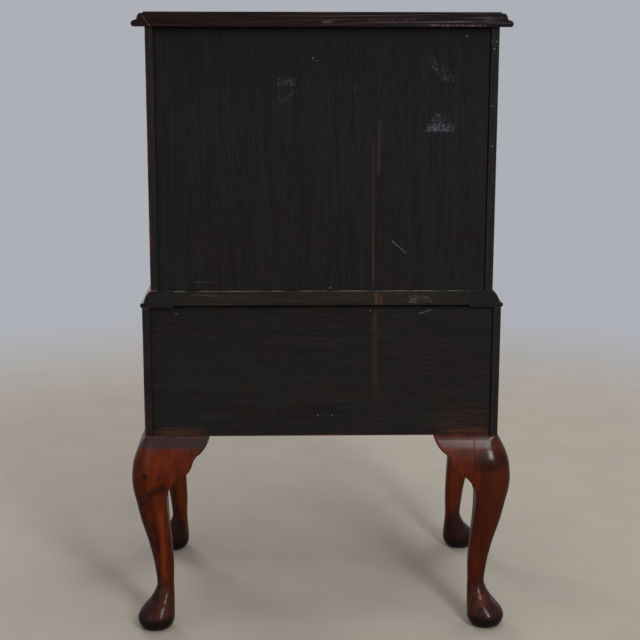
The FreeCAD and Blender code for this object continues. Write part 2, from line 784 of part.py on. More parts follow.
def all_nodes():
    nodes = [*top_and_cornice(), *waist(), *chest(), *stand(), *legs_and_brackets()]
    stops = []
    stand_floor = "(leg_height + stand_rail_thick)"
    for name, floor, ceiling in drawer_levels():
        nodes += drawer(f"{name}_drawer", IN_CHEST, CHEST_FRONT, floor, ceiling, 3)
        stops += stop_pair(CHEST_FRONT, floor)
    stand_ceiling = f"({STAND_TOP} - rail_thick)"
    nodes += drawer("stand_drawer", IN_STAND, STAND_FRONT, stand_floor, stand_ceiling, 4)
    stops += stop_pair(STAND_FRONT, stand_floor)
    nodes.append(grouped("drawer_stops", *stops))
    return nodes


nodes = all_nodes()
doc.recompute()

for thing in doc.Objects:
    if "Invalid" in thing.State or "Error" in thing.State:
        raise RuntimeError(f"{thing.Label} is {thing.State}")
for node in nodes:
    if node.Shape.isNull() or not node.Shape.isValid() or not node.Shape.Solids:
        raise RuntimeError(f"{node.Label} has no valid shape")

os.makedirs("parts", exist_ok=True)
for node in nodes:
    node.Shape.exportStep(f"parts/{node.Label}.step")
print(f"{len(nodes)} nodes, {sum(len(node.Shape.Solids) for node in nodes)} solids")
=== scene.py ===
from bisect import bisect_right
from math import atan2, copysign, cos, hypot, pi, radians, sin, sqrt, tau

import bmesh
import bpy
from mathutils import Matrix, Vector


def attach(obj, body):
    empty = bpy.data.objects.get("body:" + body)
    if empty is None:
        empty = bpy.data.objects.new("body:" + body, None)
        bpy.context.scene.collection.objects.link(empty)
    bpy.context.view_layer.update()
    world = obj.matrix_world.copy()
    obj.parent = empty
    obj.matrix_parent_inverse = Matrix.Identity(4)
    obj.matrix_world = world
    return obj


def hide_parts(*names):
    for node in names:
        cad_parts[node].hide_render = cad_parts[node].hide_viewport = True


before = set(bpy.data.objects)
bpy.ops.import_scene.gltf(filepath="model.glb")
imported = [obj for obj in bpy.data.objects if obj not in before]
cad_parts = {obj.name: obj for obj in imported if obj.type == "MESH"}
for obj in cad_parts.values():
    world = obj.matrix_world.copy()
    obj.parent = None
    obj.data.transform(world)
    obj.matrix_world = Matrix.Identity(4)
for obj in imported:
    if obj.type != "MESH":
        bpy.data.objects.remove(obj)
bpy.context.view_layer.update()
mm = 0.001
scene = bpy.context.scene
scene.view_settings.view_transform = "Standard"
print("frame loaded:", len(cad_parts), "nodes")


# Node trees

# A wire is a value on its way through a node tree, so a sum of wires is written as a sum.
class Wire:
    def __init__(self, socket):
        self.socket, self.tree = socket, socket.id_data

    def __add__(self, other):
        return calc("ADD", self, other)

    def __sub__(self, other):
        return calc("SUBTRACT", self, other)

    def __rsub__(self, other):
        return calc("SUBTRACT", other, self)

    def __mul__(self, other):
        return calc("MULTIPLY", self, other)

    def __truediv__(self, other):
        return calc("DIVIDE", self, other)


# Colours are written as they look on screen, 0 to 255.
def linear(value):
    share = value / 255
    return share / 12.92 if share <= 0.04045 else ((share + 0.055) / 1.055) ** 2.4


def feed(socket, value):
    if isinstance(value, Wire):
        value.tree.links.new(value.socket, socket)
    elif socket.type == "RGBA":
        socket.default_value = (*map(linear, value), 1.0)
    else:
        socket.default_value = value


def feedAll(node, sockets):
    for name, value in sockets.items():
        feed(node.inputs[name], value)


def addNode(tree, kind, sockets=None, **settings):
    node = tree.nodes.new(kind)
    for name, value in settings.items():
        setattr(node, name, value)
    feedAll(node, sockets or {})
    return node


def shade(tree, kind, sockets=None, output=0, **settings):
    return Wire(addNode(tree, "ShaderNode" + kind, sockets, **settings).outputs[output])


def geo(tree, kind, sockets=None, output=0, **settings):
    return Wire(addNode(tree, "GeometryNode" + kind, sockets, **settings).outputs[output])


def calc(operation, *values):
    wires = [value for value in values if isinstance(value, Wire)]
    plain = not any(isinstance(value, tuple) for value in values) and all(wire.socket.type != "VECTOR" for wire in wires)
    output = "Value" if plain or operation in ("LENGTH", "DOT_PRODUCT") else "Vector"
    return shade(wires[0].tree, "Math" if plain else "VectorMath", dict(enumerate(values)), output, operation=operation)


def larger(a, b):
    return calc("MAXIMUM", a, b)


def smaller(a, b):
    return calc("MINIMUM", a, b)


def split(vector):
    return [Wire(socket) for socket in addNode(vector.tree, "ShaderNodeSeparateXYZ", {"Vector": vector}).outputs]


def mix(share, a, b):
    return shade(share.tree, "Mix", {0: share, 6: a, 7: b}, 2, data_type="RGBA")


def ease(value, low, high, toLow=0.0, toHigh=1.0):
    sockets = {"Value": value, "From Min": low, "From Max": high, "To Min": toLow, "To Max": toHigh}
    return shade(value.tree, "MapRange", sockets, "Result", interpolation_type="SMOOTHSTEP")


def noise(vector, scale, detail=2.0, roughness=0.5, warp=0.0):
    sockets = {"Vector": vector, "Scale": scale, "Detail": detail, "Roughness": roughness, "Distortion": warp}
    return shade(vector.tree, "TexNoise", sockets, "Fac")


# Inputs are given by their defaults, or by the name of their kind where they have none.
def newTree(name, kind, inputs, outputs):
    tree = bpy.data.node_groups.new(name, kind + "NodeTree")
    for label, value in inputs.items():
        sort = value if isinstance(value, str) else {float: "Float", int: "Int", tuple: "Vector"}[type(value)]
        socket = tree.interface.new_socket(label, in_out="INPUT", socket_type="NodeSocket" + sort)
        if sort != value:
            socket.default_value = value
    for label, sort in outputs.items():
        tree.interface.new_socket(label, in_out="OUTPUT", socket_type="NodeSocket" + sort)
    start, end = tree.nodes.new("NodeGroupInput"), tree.nodes.new("NodeGroupOutput")
    return tree, {socket.name: Wire(socket) for socket in start.outputs if socket.name}, end.inputs


# An effect that several materials share: build takes the inputs by name and gives what the outputs hold.
def makeGroup(name, build, outputs=("Mask",), **inputs):
    tree, given, ends = newTree(name, "Shader", {"vector": (0, 0, 0), **inputs}, dict.fromkeys(outputs, "Float"))
    for end, wire in zip(ends, build(**given)):
        feed(end, wire)
    return tree


def useGroup(tree, group, **sockets):
    return [Wire(socket) for socket in addNode(tree, "ShaderNodeGroup", sockets, node_tree=group).outputs]


# Wood grain that runs along X of its vector: broad figure, fine lines and short open pores
def grainParts(vector, figure, warp):
    broad = noise(vector * (2.2, 24, 24), figure, 3, 0.55, warp)
    coarse = noise(vector * (11, 330, 330), 1, 2, 0.6, 0.3)
    fine = noise(vector * (30, 1100, 1100), 1, 1, 0.5)
    pores = noise(vector * (75, 1500, 1500), 1, 0)
    return broad, coarse * 0.65 + fine * 0.35, ease(pores, 0.62, 0.74)


# Rubbed arrises of a board: place is measured from its middle, half is half its size
def wearMask(vector, place, half, reach, amount):
    x, y, z = split(half - calc("ABSOLUTE", place))
    arris = larger(smaller(x, y), smaller(larger(x, y), z))
    ragged = noise(vector, 19, 3, 0.6) * 0.7 + noise(vector, 260, 2, 0.6) * 0.3
    bare = ease(ragged, 0.78 - amount * 0.5, 0.82)
    return [bare * ease(arris, 0, reach * (bare + 0.02), 1, 0)]


# A line rubbed or scratched between two places, broken up along its length
def lineMask(vector, start, end, width, broken):
    away, run = vector * (1, 0, 1) - start, end - start
    share = calc("DOT_PRODUCT", away, run) / calc("DOT_PRODUCT", run, run)
    gap = calc("LENGTH", away - run * smaller(larger(share, 0.0), 1.0))
    line = ease(gap, 0, width * (noise(vector, 120, 2) * 1.6), 1, 0)
    ends = ease(share, -0.02, 0.12) * ease(share, 0.8, 1.02, 1, 0)
    return [line * ends * ease(noise(vector, 700, 1), broken, broken + 0.12)]


# A patch of dry speckle, wide at its foot and narrowing upwards by its lean
def scuffMask(vector, centre, width, height, lean, shift, cover):
    x, _, z = split(vector - centre)
    up = z / height
    wander = (noise(vector, 130, 2) - 0.5) * 0.7
    across = calc("ABSOLUTE", (x - shift * up) / width) + wander
    inX = ease(1.0 - lean * (up + 1.0) - across, -0.05, 0.3)
    inZ = ease(calc("ABSOLUTE", up) + wander, 0.8, 1.05, 1, 0)
    density = noise(vector * (1500, 1500, 760), 1, 1, 0.5) * 0.65 + noise(vector, 210, 2) * 0.35
    threshold = 0.66 - cover * 0.3
    return [inX * inZ * ease(density, threshold, threshold + 0.07)]


# A soft patch with no edge of its own; a size of 0 leaves that direction out
def patchMask(vector, centre, size):
    wander = (noise(vector, 150, 3, 0.6) - 0.5) * 0.8
    return [ease(calc("LENGTH", (vector - centre) / size) + wander, 0.4, 1.1, 1, 0)]


# Dust that settles on upward faces, thin and patchy
def dustMask(vector, amount):
    up = split(shade(vector.tree, "TexCoord", output="Normal"))[2]
    return [ease(up, 0.75, 0.98) * ease(noise(vector, 34, 4, 0.65), 0.3, 0.75) * amount]


grainGroup = makeGroup("wood grain", grainParts, ("Figure", "Lines", "Pores"), figure=1.0, warp=0.6)
wearGroup = makeGroup("edge wear", wearMask, place=(0, 0, 0), half=(1, 1, 1), reach=0.002, amount=0.5)
lineGroup = makeGroup("scratch", lineMask, start=(0, 0, 0), end=(0, 0, 1), width=0.001, broken=0.4)
scuffGroup = makeGroup("scuff", scuffMask, centre=(0, 0, 0), width=0.02, height=0.02, lean=0.0, shift=0.0, cover=0.4)
patchGroup = makeGroup("soft patch", patchMask, centre=(0, 0, 0), size=(0.01, 0, 0.01))
dustGroup = makeGroup("settled dust", dustMask, amount=0.5)
print("shader groups made")


# Materials

# What each kind of mark is given, and in which unit. A place or a size is (across, up) or (across, back, up).
markKinds = {
    "line": (lineGroup, {"start": mm, "end": mm, "width": mm, "broken": 1}),
    "scuff": (scuffGroup, {"centre": mm, "width": mm, "height": mm, "lean": 1, "shift": mm, "cover": 1}),
    "patch": (patchGroup, {"centre": mm, "size": mm}),
}


def inUnit(value, unit):
    if not isinstance(value, tuple):
        return value * unit
    x, *back, z = value
    return (x * unit, back[0] * unit if back else 0.0, z * unit)


# A wood while its finish is laid on: where it is, and its colour, roughness and height so far.
# Tints and marks are named as in its look.
class Wood:
    def __init__(self, tree, look):
        self.tree, self.look = tree, look
        self.place = shade(tree, "TexCoord", output="Object")
        self.x, self.y, self.z = split(self.place)
        self.board = self.read("boardPlace")
        grain = {"vector": self.read("grainPlace"), "figure": look["figure"], "warp": look["warp"]}
        figure, self.lines, pores = useGroup(tree, grainGroup, **grain)
        self.colour = mix(ease(figure, 0.32, 0.68), look["dark"], look["light"])
        self.lay(ease(self.lines, 0.42, 0.6) * look["lineShare"], "line")
        self.lay(pores * look["poreShare"], "pore")
        self.rough = (self.lines - 0.5) * look["roughRange"] + look["rough"] + pores * 0.12
        self.height = self.lines - pores * 0.8

    def read(self, attribute, output="Vector"):
        return shade(self.tree, "Attribute", output=output, attribute_name=attribute)

    def lay(self, share, tint):
        self.colour = mix(share, self.colour, tint if isinstance(tint, Wire) else self.look[tint])

    def mask(self, group, **sockets):
        return useGroup(self.tree, group, vector=self.place, **sockets)[0]

    def worn(self, reach, amount):
        return self.mask(wearGroup, place=self.board, half=self.read("boardHalf"), reach=reach, amount=amount)

    def rub(self, kind, marks, tint):
        group, units = markKinds[kind]
        for *values, strength in self.look.get(marks, ()):
            sockets = {name: inUnit(value, units[name]) for name, value in zip(units, values)}
            self.lay(self.mask(group, **sockets) * strength, tint)

    def dust(self, amount):
        self.lay(self.mask(dustGroup, amount=amount), "dust")


def newMaterial(name):
    material = bpy.data.materials.new(name)
    material.use_nodes = True
    tree = material.node_tree
    tree.nodes.clear()
    shader = addNode(tree, "ShaderNodeBsdfPrincipled")
    addNode(tree, "ShaderNodeOutputMaterial", {"Surface": Wire(shader.outputs[0])})
    return material, tree, shader


def setSurface(shader, colour, rough, height, strength, relief, values):
    bump = shade(colour.tree, "Bump", {"Strength": strength, "Distance": relief, "Height": height}, "Normal")
    feedAll(shader, {"Base Color": colour, "Roughness": rough, "Normal": bump, **values})


# What a look says only where it differs
plainLook = {"warp": 0.6, "bump": 0.35, "coat": 0.0, "coatRough": 0.15}


def woodMaterial(name, look, layers):
    look = {**plainLook, **look}
    material, tree, shader = newMaterial(name)
    wood = Wood(tree, look)
    layers(wood)
    values = {"Specular IOR Level": look["specular"], "Coat Weight": look["coat"], "Coat Roughness": look["coatRough"]}
    setSurface(shader, wood.colour, wood.rough, wood.height, look["bump"], look["relief"], values)
    return material


# Near-black stained backs with their marks

panelLook = {
    "dark": (20, 18, 19), "light": (24, 22, 23), "line": (33, 30, 30), "lineShare": 0.45, "pore": (8, 7, 7),
    "poreShare": 0.5, "rough": 0.6, "roughRange": 0.3, "relief": 0.0005, "bump": 0.25, "specular": 0.06, "figure": 2.2,
    "warp": 0.8, "tan": (70, 54, 44), "scuff": (92, 98, 108), "bare": (104, 54, 24), "warm": (42, 25, 20),
    "cool": (24, 30, 27), "patch": (86, 48, 26), "lint": (80, 80, 78), "grime": (9, 8, 8), "dim": (10, 9, 10),
    "dust": (96, 92, 84),
}
chestPanelLook = {
    **panelLook, "warmShare": 0.22, "coolShare": 0.5, "tintTop": (0.6, 0.7), "shadeUnderMouldingFoot": (0.903, 0.915),
    "dimShare": 0.34,
    # lines: start, end, width, broken, strength
    "streaks": [((-83.5, 790), (-82.5, 702), 3.8, 0.1, 0.34), ((-74, 770), (-76, 535), 3.4, 0.1, 0.24),
                ((-74.5, 630), (-76, 535), 4.6, 0.2, 0.22)],
    "scratches": [((64, 844), (63, 814), 1.6, 0.46, 0.34), ((65, 805), (40, 828), 2, 0.48, 0.42),
                  ((-101.9, 610.5), (-125.9, 589.5), 2.1, 0.38, 0.62), ((190, 548), (158, 547), 1.2, 0.45, 0.3),
                  ((-48, 826), (-46, 840), 1.6, 0.45, 0.3), ((18, 872), (5, 871.5), 1.4, 0.45, 0.36)],
    # scuffs: centre, width, height, lean, shift, cover, strength
    "scuffs": [((51.5, 841), 14.5, 6, 0, 0, 0.46, 0.34), ((52, 827), 13.5, 17, 0, -3, 0.26, 0.26),
               ((-161, 866), 5, 10, 0, 4, 0.36, 0.42), ((-174, 855), 12, 14, 0, 10, 0.4, 0.46),
               ((-170, 783.5), 24, 13, 0.34, 0, 0.44, 0.42), ((-171, 776.5), 23, 5.5, 0, 0, 0.46, 0.4),
               ((-171, 771.2), 22, 1.2, 0, 0, 0.8, 0.36)],
}
standPanelLook = {
    **panelLook, "dark": (22, 20, 20), "light": (26, 25, 24), "line": (40, 34, 32), "lineShare": 0.42, "warmShare": 0.2,
    "coolShare": 0.4, "tintTop": (0.5, 0.6), "shadeUnderMouldingFoot": (0.504, 0.5105), "dimShare": 0.1,
    "streaks": [((-79.3, 509.5), (-80, 370), 9.5, 0.15, 0.19), ((-78, 504), (-79, 470), 4.6, 0.3, 0.25)],
    "scratches": [((-143.6, 499), (-167.7, 506), 2, 0.38, 0.62)],
    # patches: centre, size, strength
    "patches": [((215, 317), (45, 9), 0.62), ((-215, 333), (60, 30), 0.16), ((-222, 316.5), (45, 6), 0.45)],
    # how high the lowest arris is rubbed, and how high a line of it is bare
    "rubbed": (0.3115, 0.3135), "bareLine": (0.3106, 0.312),
}


def panelLayers(wood):
    place, z, look = wood.place, wood.z, wood.look
    clouds = noise(place, 22, 5, 0.7, 0.2)
    low = ease(z, *look["tintTop"], 1.0, 0.15)
    wood.lay(ease(clouds, 0.5, 0.68, 0, look["warmShare"]) * low, "warm")
    wood.lay(ease(noise(place + (3, 5, 1), 9, 3, 0.6), 0.48, 0.68, 0, look["coolShare"]) * low, "cool")
    unrubbed = wood.colour
    wood.rub("patch", "patches", "patch")
    wood.colour = mix(ease(wood.lines, 0.44, 0.58, 0.35, 1.0), unrubbed, wood.colour)
    wood.rub("line", "streaks", "tan")
    wood.rub("scuff", "scuffs", "scuff")
    wood.rub("line", "scratches", "scuff")
    wood.lay(ease(noise(place, 430, 1), 0.77, 0.795, 0, 0.3), "lint")
    if "rubbed" in look:
        worn = wood.worn(0.0045, 1.0)
        wood.lay(larger(worn - worn * ease(z, *look["rubbed"]), ease(z, *look["bareLine"], 0.35, 0)), "bare")
    # painted shade: a dark band just under the moulding above, and a painted shadow of the moulding that dims the wood
    # below that
    low, high = look["shadeUnderMouldingFoot"]
    wood.lay(ease(z, low, high, 0, 0.6), "grime")
    wood.lay(ease(z, low - 0.14, high, 0, look["dimShare"]), "dim")
    wood.dust(0.6)
    wood.rough = wood.rough + clouds * 0.08


chestPanelWood = woodMaterial("stained panel upright", chestPanelLook, panelLayers)
standPanelWood = woodMaterial("stained panel level", standPanelLook, panelLayers)

railLook = {
    "dark": (24, 21, 17), "light": (33, 29, 24), "line": (44, 37, 29), "lineShare": 0.45, "pore": (12, 10, 8),
    "poreShare": 0.45, "rough": 0.56, "roughRange": 0.25, "relief": 0.0005, "specular": 0.07, "figure": 1.8,
    "ends": (25, 24, 24), "tan": (92, 62, 38), "scuff": (116, 106, 102), "scratch": (104, 98, 92),
    "bare": (100, 66, 42), "dust": (128, 124, 116),
    "streaks": [((-80, 534.5), (-81.5, 513), 6, 0.15, 0.42), ((-87, 530), (-88, 513), 4, 0.2, 0.3)],
    "scratches": [((195, 530), (150, 527.5), 1.2, 0.35, 0.35), ((-130, 518), (-142, 524), 1.8, 0.46, 0.5)],
    "scuffs": [((-147, 523), 17, 6, 0, 2, 0.34, 0.62), ((-134, 520), 8, 3.5, 0, 0, 0.4, 0.5)],
}


def railLayers(wood):
    wood.lay(ease(calc("ABSOLUTE", wood.x), 0.13, 0.21, 0, 0.6), "ends")
    wood.rub("line", "streaks", "tan")
    wood.rub("scuff", "scuffs", "scuff")
    wood.rub("line", "scratches", "scratch")
    wood.lay(wood.worn(0.0012, 0.4), "bare")
    wood.dust(0.95)


railWood = woodMaterial("stained rail", railLook, railLayers)


# Polished case wood: back says where the stain of the back begins

caseLook = {
    "dark": (56, 23, 12), "light": (92, 41, 20), "line": (42, 17, 10), "lineShare": 0.45, "pore": (24, 10, 7),
    "poreShare": 0.6, "rough": 0.36, "roughRange": 0.16, "relief": 0.0003, "bump": 0.18, "specular": 0.18, "coat": 0.14,
    "coatRough": 0.2, "figure": 1.3, "warp": 1.2, "stain": (28, 25, 24), "bare": (120, 58, 26), "dust": (130, 122, 112),
    "back": 0.180, "reveal": (0.1705, 0.1715), "wear": 0.8,
}
topLook = {
    **caseLook, "coat": 0.1, "coatRough": 0.3, "specular": 0.14, "rough": 0.42, "bump": 0.12, "back": 0.186,
    "wear": 0.42,
}


# The stain of the back runs a little way round onto the polished faces.
def caseLayers(wood):
    look, x, y = wood.look, wood.x, wood.y
    wander = noise(wood.place, 60, 3, 0.6)
    start = look["back"] - 0.0002 - wander * 0.0022
    # the narrow reveal towards the panel is stained too
    inner = ease(x * split(wood.board)[0], -0.0006, -0.0002, 1, 0)
    reveal = inner * ease(y, *look["reveal"])
    stained = larger(ease(y, start, start + 0.0004), reveal)
    wood.lay(stained, "stain")
    wear = wood.worn(0.0024, look["wear"]) * (ease(x, -0.25, 0.25, 0.45, 1.0) * (1.0 - reveal))
    nose = wood.read("arris", "Fac") * ease(wander, 0.5, 0.66, 0, 0.5)
    wood.lay(larger(wear, nose), "bare")
    wood.dust(0.1)
    wood.rough = wood.rough + stained * 0.28 + ease(wander, 0.4, 0.7) * 0.08


sideWood = woodMaterial("case sides", caseLook, caseLayers)
waistWood = woodMaterial("waist moulding wood", {**caseLook, "wear": 0.5}, caseLayers)
topWood = woodMaterial("top and cornice wood", topLook, caseLayers)


# Dull rear faces of the polished pieces

rearLook = {
    "dark": (22, 20, 20), "light": (28, 26, 26), "line": (40, 36, 35), "lineShare": 0.45, "pore": (11, 10, 10),
    "poreShare": 0.4, "rough": 0.58, "roughRange": 0.25, "relief": 0.0004, "bump": 0.22, "specular": 0.06,
    "figure": 1.8, "warp": 0.8, "wear": 1.2, "bare": (126, 66, 36), "thin": (56, 38, 32), "warm": (62, 36, 22),
    "warmShare": 0.3, "speck": (150, 152, 156),
    "specks": [(place, (1.2, 1.1), 0.4)
               for place in ((-242.4, 898.8), (-250, 898.8), (-246.8, 888.5), (-247.8, 749.4), (-246.3, 807.4))],
}
waistRearLook = {**rearLook, "dark": (18, 17, 18), "light": (23, 22, 23), "wear": 0.4, "warmShare": 0}
corniceRearLook = {
    **rearLook, "dark": (14, 6, 6), "light": (23, 9, 9), "line": (37, 22, 22), "lineShare": 0.55, "figure": 1.2,
    "wear": 0.3, "warmShare": 0, "coolEnd": (17, 14, 16), "fineLine": (92, 78, 78), "patch": (104, 86, 86),
    "scratch": (132, 104, 98),
    "patches": [((-6.2, 926), (11, 3), 0.26), ((-238, 930), (12, 5), 0.15)],
    "scratches": [((-148, 921.5), (-238, 920.5), 2.2, 0.5, 0.75), ((-170, 926.5), (-220, 926), 1.2, 0.48, 0.45),
                  ((-60, 930), (-150, 929), 1, 0.5, 0.4)],
}


def rearLayers(wood):
    look, place, x = wood.look, wood.place, wood.x
    if "coolEnd" in look:
        wood.lay(ease(x, 0.06, -0.22, 0, 0.85), "coolEnd")
        fine = ease(noise(place * (9, 9, 1100), 1, 2, 0.6), 0.56, 0.68)
        wood.lay(fine * ease(x, 0.14, -0.1, 0.1, 0.55), "fineLine")
    wood.rub("patch", "patches", "patch")
    wood.rub("line", "scratches", "scratch")
    if look["warmShare"]:
        wood.lay(ease(wood.z, 0.3, 0.37, look["warmShare"], 0) * ease(noise(place, 45, 3), 0.42, 0.62), "warm")
    # the outer arris is rubbed bare, most of all at one side
    outer = ease(x * split(wood.board)[0], -0.0002, 0.0002, 0.05, 1.0)
    share = outer * ease(x, -0.25, 0.25, 0.2, 1.0)
    wood.lay(wood.worn(0.011, look["wear"]) * (share * 0.3), "thin")
    wood.lay(wood.worn(0.003, look["wear"]) * share, "bare")
    wood.rub("patch", "specks", "speck")
    wood.rough = wood.rough + noise(place, 60, 3, 0.6) * 0.1


sideRearWood = woodMaterial("case sides rear", rearLook, rearLayers)
waistRearWood = woodMaterial("waist rear", waistRearLook, rearLayers)
corniceRearWood = woodMaterial("cornice rear", corniceRearLook, rearLayers)


# Drawer fronts, with a flame that fans out from the middle

frontLook = {
    **caseLook, "dark": (66, 26, 13), "light": (118, 54, 25), "figure": 1.6, "warp": 2.4, "coat": 0.22,
    "coatRough": 0.16, "flameDark": (46, 17, 10), "flameLight": (140, 72, 34), "bare": (150, 84, 44),
}


def frontLayers(wood):
    out = calc("ABSOLUTE", wood.x)
    flame = out + calc("POWER", out, 2.0) * -2.2
    plume = noise(shade(wood.tree, "CombineXYZ", {"X": flame * 7, "Z": wood.z * 22}), 1.4, 4, 0.6, 1.8)
    wood.lay(ease(plume, 0.5, 0.72, 0, 0.5), "flameDark")
    wood.lay(ease(plume, 0.28, 0.44, 0.3, 0), "flameLight")
    wood.lay(wood.worn(0.0014, 0.55) * 0.7, "bare")


frontWood = woodMaterial("drawer front wood", frontLook, frontLayers)


# Unpolished wood of the drawers and the insides

liningLook = {
    "dark": (134, 100, 62), "light": (164, 130, 88), "line": (112, 80, 48), "lineShare": 0.4, "pore": (84, 58, 34),
    "poreShare": 0.5, "rough": 0.66, "roughRange": 0.2, "relief": 0.0004, "specular": 0.3, "figure": 1.1,
    "soil": (88, 62, 40), "soilShare": 0.55,
}
innerLook = {
    **liningLook, "dark": (104, 78, 50), "light": (134, 104, 70), "line": (84, 60, 38), "soil": (60, 43, 30),
    "soilShare": 0.7,
}


def agedLayers(wood):
    wood.lay(ease(noise(wood.place, 14, 5, 0.62), 0.42, 0.74, 0, wood.look["soilShare"]), "soil")
    wood.lay(wood.worn(0.004, 0.6) * 0.5, "soil")


liningWood = woodMaterial("drawer lining wood", liningLook, agedLayers)
innerWood = woodMaterial("inside wood", innerLook, agedLayers)


# Glossy leg wood: red where the polish is thin, nearly black towards the feet

legLook = {
    "dark": (62, 18, 4), "light": (93, 32, 7), "line": (44, 13, 5), "lineShare": 0.3, "pore": (24, 9, 5),
    "poreShare": 0.3, "rough": 0.32, "roughRange": 0.14, "relief": 0.0002, "bump": 0.1, "specular": 0.03, "coat": 0.18,
    "coatRough": 0.16, "figure": 1.3, "warp": 0.9, "foot": (37, 18, 17), "footGlow": (76, 36, 18), "sole": (20, 11, 11),
    "shade": (32, 11, 6), "brown": (53, 18, 7), "lit": (124, 52, 14), "shoulder": (43, 35, 36), "knot": (20, 7, 4),
    "scuff": (96, 74, 56),
    # how high the foot's stain fades, and between which values of sawnEdge a bracket's rim turns dark
    "stainTop": (0.022, 0.062), "rim": (0.0082, 0.0093),
}
rearLegLook = {
    **legLook,
    "shadows": [((266, 223), (234, 240), 15, -0.2, 0.88), ((262, 232), (250, 110), 10, -0.2, 0.55),
                ((271.5, 259), (264, 248), 4, 0, 0.75), ((265, 248.5), (250, 247.5), 3.4, 0.3, 0.4),
                ((251, 247.5), (243.5, 254.5), 3.6, 0.1, 0.55)],
    "gleams": [((245.5, 205), (243.5, 62), 9, 0, 0.5)],
    "knots": [((266.9, 200, 254.4), (5, 60, 3.6), 0.85), ((246.8, 200, 255.3), (4, 60, 3), 0.5),
              ((-256, 200, 274), (48, 90, 20), 0.66)],
}
# painted light: the front legs get lighter tints than the rear ones, to make up for the shade they stand in
frontLegLook = {**legLook, "dark": (60, 20, 7), "light": (104, 42, 14), "stainTop": (0.024, 0.062)}


def legLayers(wood):
    look, place, y, z = wood.look, wood.place, wood.y, wood.z
    out = split(wood.read("cornerPlace"))[0]

    # one value for the legs at -X, another for those at +X
    def either(left, right):
        return ease(wood.x, -0.1, 0.1, left, right)

    wander = noise(place * (22, 22, 9), 1, 4, 0.6)
    # the leg itself, not its brackets, is browner at one side
    post = ease(out, -0.0378, -0.0374)
    wood.lay(either(0.4, 0) * post, "brown")
    # painted shade: below the knee the outer half is darker, in upright stripes, and on the leg at -X the outer side of
    # the knee is darker too
    lean = out + (0.16 - z) * 0.15
    knee = ease(z, 0.298, 0.288) * either(1, 0)
    stripes = ease(noise(place * (170, 170, 5), 1, 3, 0.6), 0.34, 0.6, 0.2, 0.74)
    below = ease(lean, -0.025, -0.006) * larger(ease(z, 0.24, 0.2), knee)
    wood.lay(below * (stripes * either(0.5, 1)), "shade")
    wood.lay(ease(wander, 0.58, 0.74, 0, 0.5), "shade")
    wood.rub("line", "gleams", "lit")
    wood.rub("line", "shadows", "shade")
    clear = wood.colour
    wood.rub("patch", "knots", "knot")
    wood.colour = mix(post, clear, wood.colour)
    # partly painted shade: the sawn edge of a bracket is darkened, for its darker end grain and for the shade along its
    # arris
    wood.lay(ease(wood.read("sawnEdge", "Fac"), *look["rim"]) * either(0.85, 0.5), "shade")
    # the stain over the ankle and foot is higher on the outer side, and warmer patches show through it
    level = z + (wander - 0.5) * 0.05 - ease(lean, -0.03, -0.008, 0, 0.035)
    level = level + ease(out, -0.035, -0.026, 0.03, 0) * either(0.3, 1)
    clouds = ease(noise(place * (52, 52, 24), 1, 2, 0.5, 0.2), 0.32, 0.66)
    glow = clouds * either(1, 0.5) * ease(out, -0.022, 0.0, 1, 0.12) * ease(y, -0.1, 0.1, 0.1, 1)
    foot = mix(glow, look["foot"], look["footGlow"])
    foot = mix(ease(z + (wander - 0.5) * 0.012, 0.015, 0.026, 1, 0), foot, look["sole"])
    wood.lay(ease(level, *look["stainTop"], 0.97, 0), foot)
    # painted reflection and shade: a purple-grey band at the top of the knee, under the case, stands in for the sheen
    # of the light from above and for the shade under the case
    wood.lay(ease(z + wander * 0.008, 0.293, 0.304, 0, 0.85) * either(0.5, 1), "shoulder")
    scuffs = ease(noise(place, 240, 3, 0.6), 0.7, 0.76, 0, 0.3)
    wood.lay(scuffs * ease(z, 0.012, 0.03, 1, 0), "scuff")
    wood.rough = wood.rough + ease(wander, 0.35, 0.7) * 0.1
    wood.height = wood.height * ease(z, 0.05, 0.12, 0.1, 1.0)


rearLegWood = woodMaterial("rear leg wood", rearLegLook, legLayers)
frontLegWood = woodMaterial("front leg wood", frontLegLook, legLayers)


# Aged brass, and small finishes mottled at their own scale

brassLook = {"bright": (188, 150, 84), "dull": (150, 114, 60), "tarnish": (74, 54, 30), "rough": 0.28}
pinLook = {"colour": (17, 15, 15), "other": (26, 23, 22), "rough": 0.6, "metallic": 0.0}
barePinLook = {"colour": (112, 112, 108), "other": (70, 68, 66), "rough": 0.5, "metallic": 0.3}
glueLook = {**pinLook, "colour": (138, 112, 104), "other": (96, 72, 66)}


def brassMaterial(name, look):
    material, tree, shader = newMaterial(name)
    place = shade(tree, "TexCoord", output="Object")
    clouds, spots = noise(place, 55, 4, 0.6), noise(place, 420, 3, 0.65)
    tarnish = ease(clouds * 0.5 + spots * 0.5, 0.55, 0.66, 0, 0.6)
    colour = mix(tarnish, mix(ease(clouds, 0.38, 0.64), look["bright"], look["dull"]), look["tarnish"])
    setSurface(shader, colour, tarnish * 0.3 + look["rough"], spots, 0.15, 0.0002, {"Metallic": 1.0})
    return material


def smallMaterial(name, look):
    material, tree, shader = newMaterial(name)
    speck = noise(shade(tree, "TexCoord", output="Object"), 900, 3, 0.6)
    colour = mix(ease(speck, 0.4, 0.62), look["colour"], look["other"])
    values = {"Metallic": look["metallic"], "Specular IOR Level": 0.1}
    setSurface(shader, colour, speck * 0.15 + look["rough"], speck, 0.3, 0.0002, values)
    return material


brass = brassMaterial("aged brass", brassLook)
darkPin = smallMaterial("stained pin heads", pinLook)
palePin = smallMaterial("bare pin heads", barePinLook)
driedGlue = smallMaterial("dried glue", glueLook)
print("materials made")


# Meshes and objects

def addObject(name, data):
    obj = bpy.data.objects.new(name, data)
    scene.collection.objects.link(obj)
    return obj


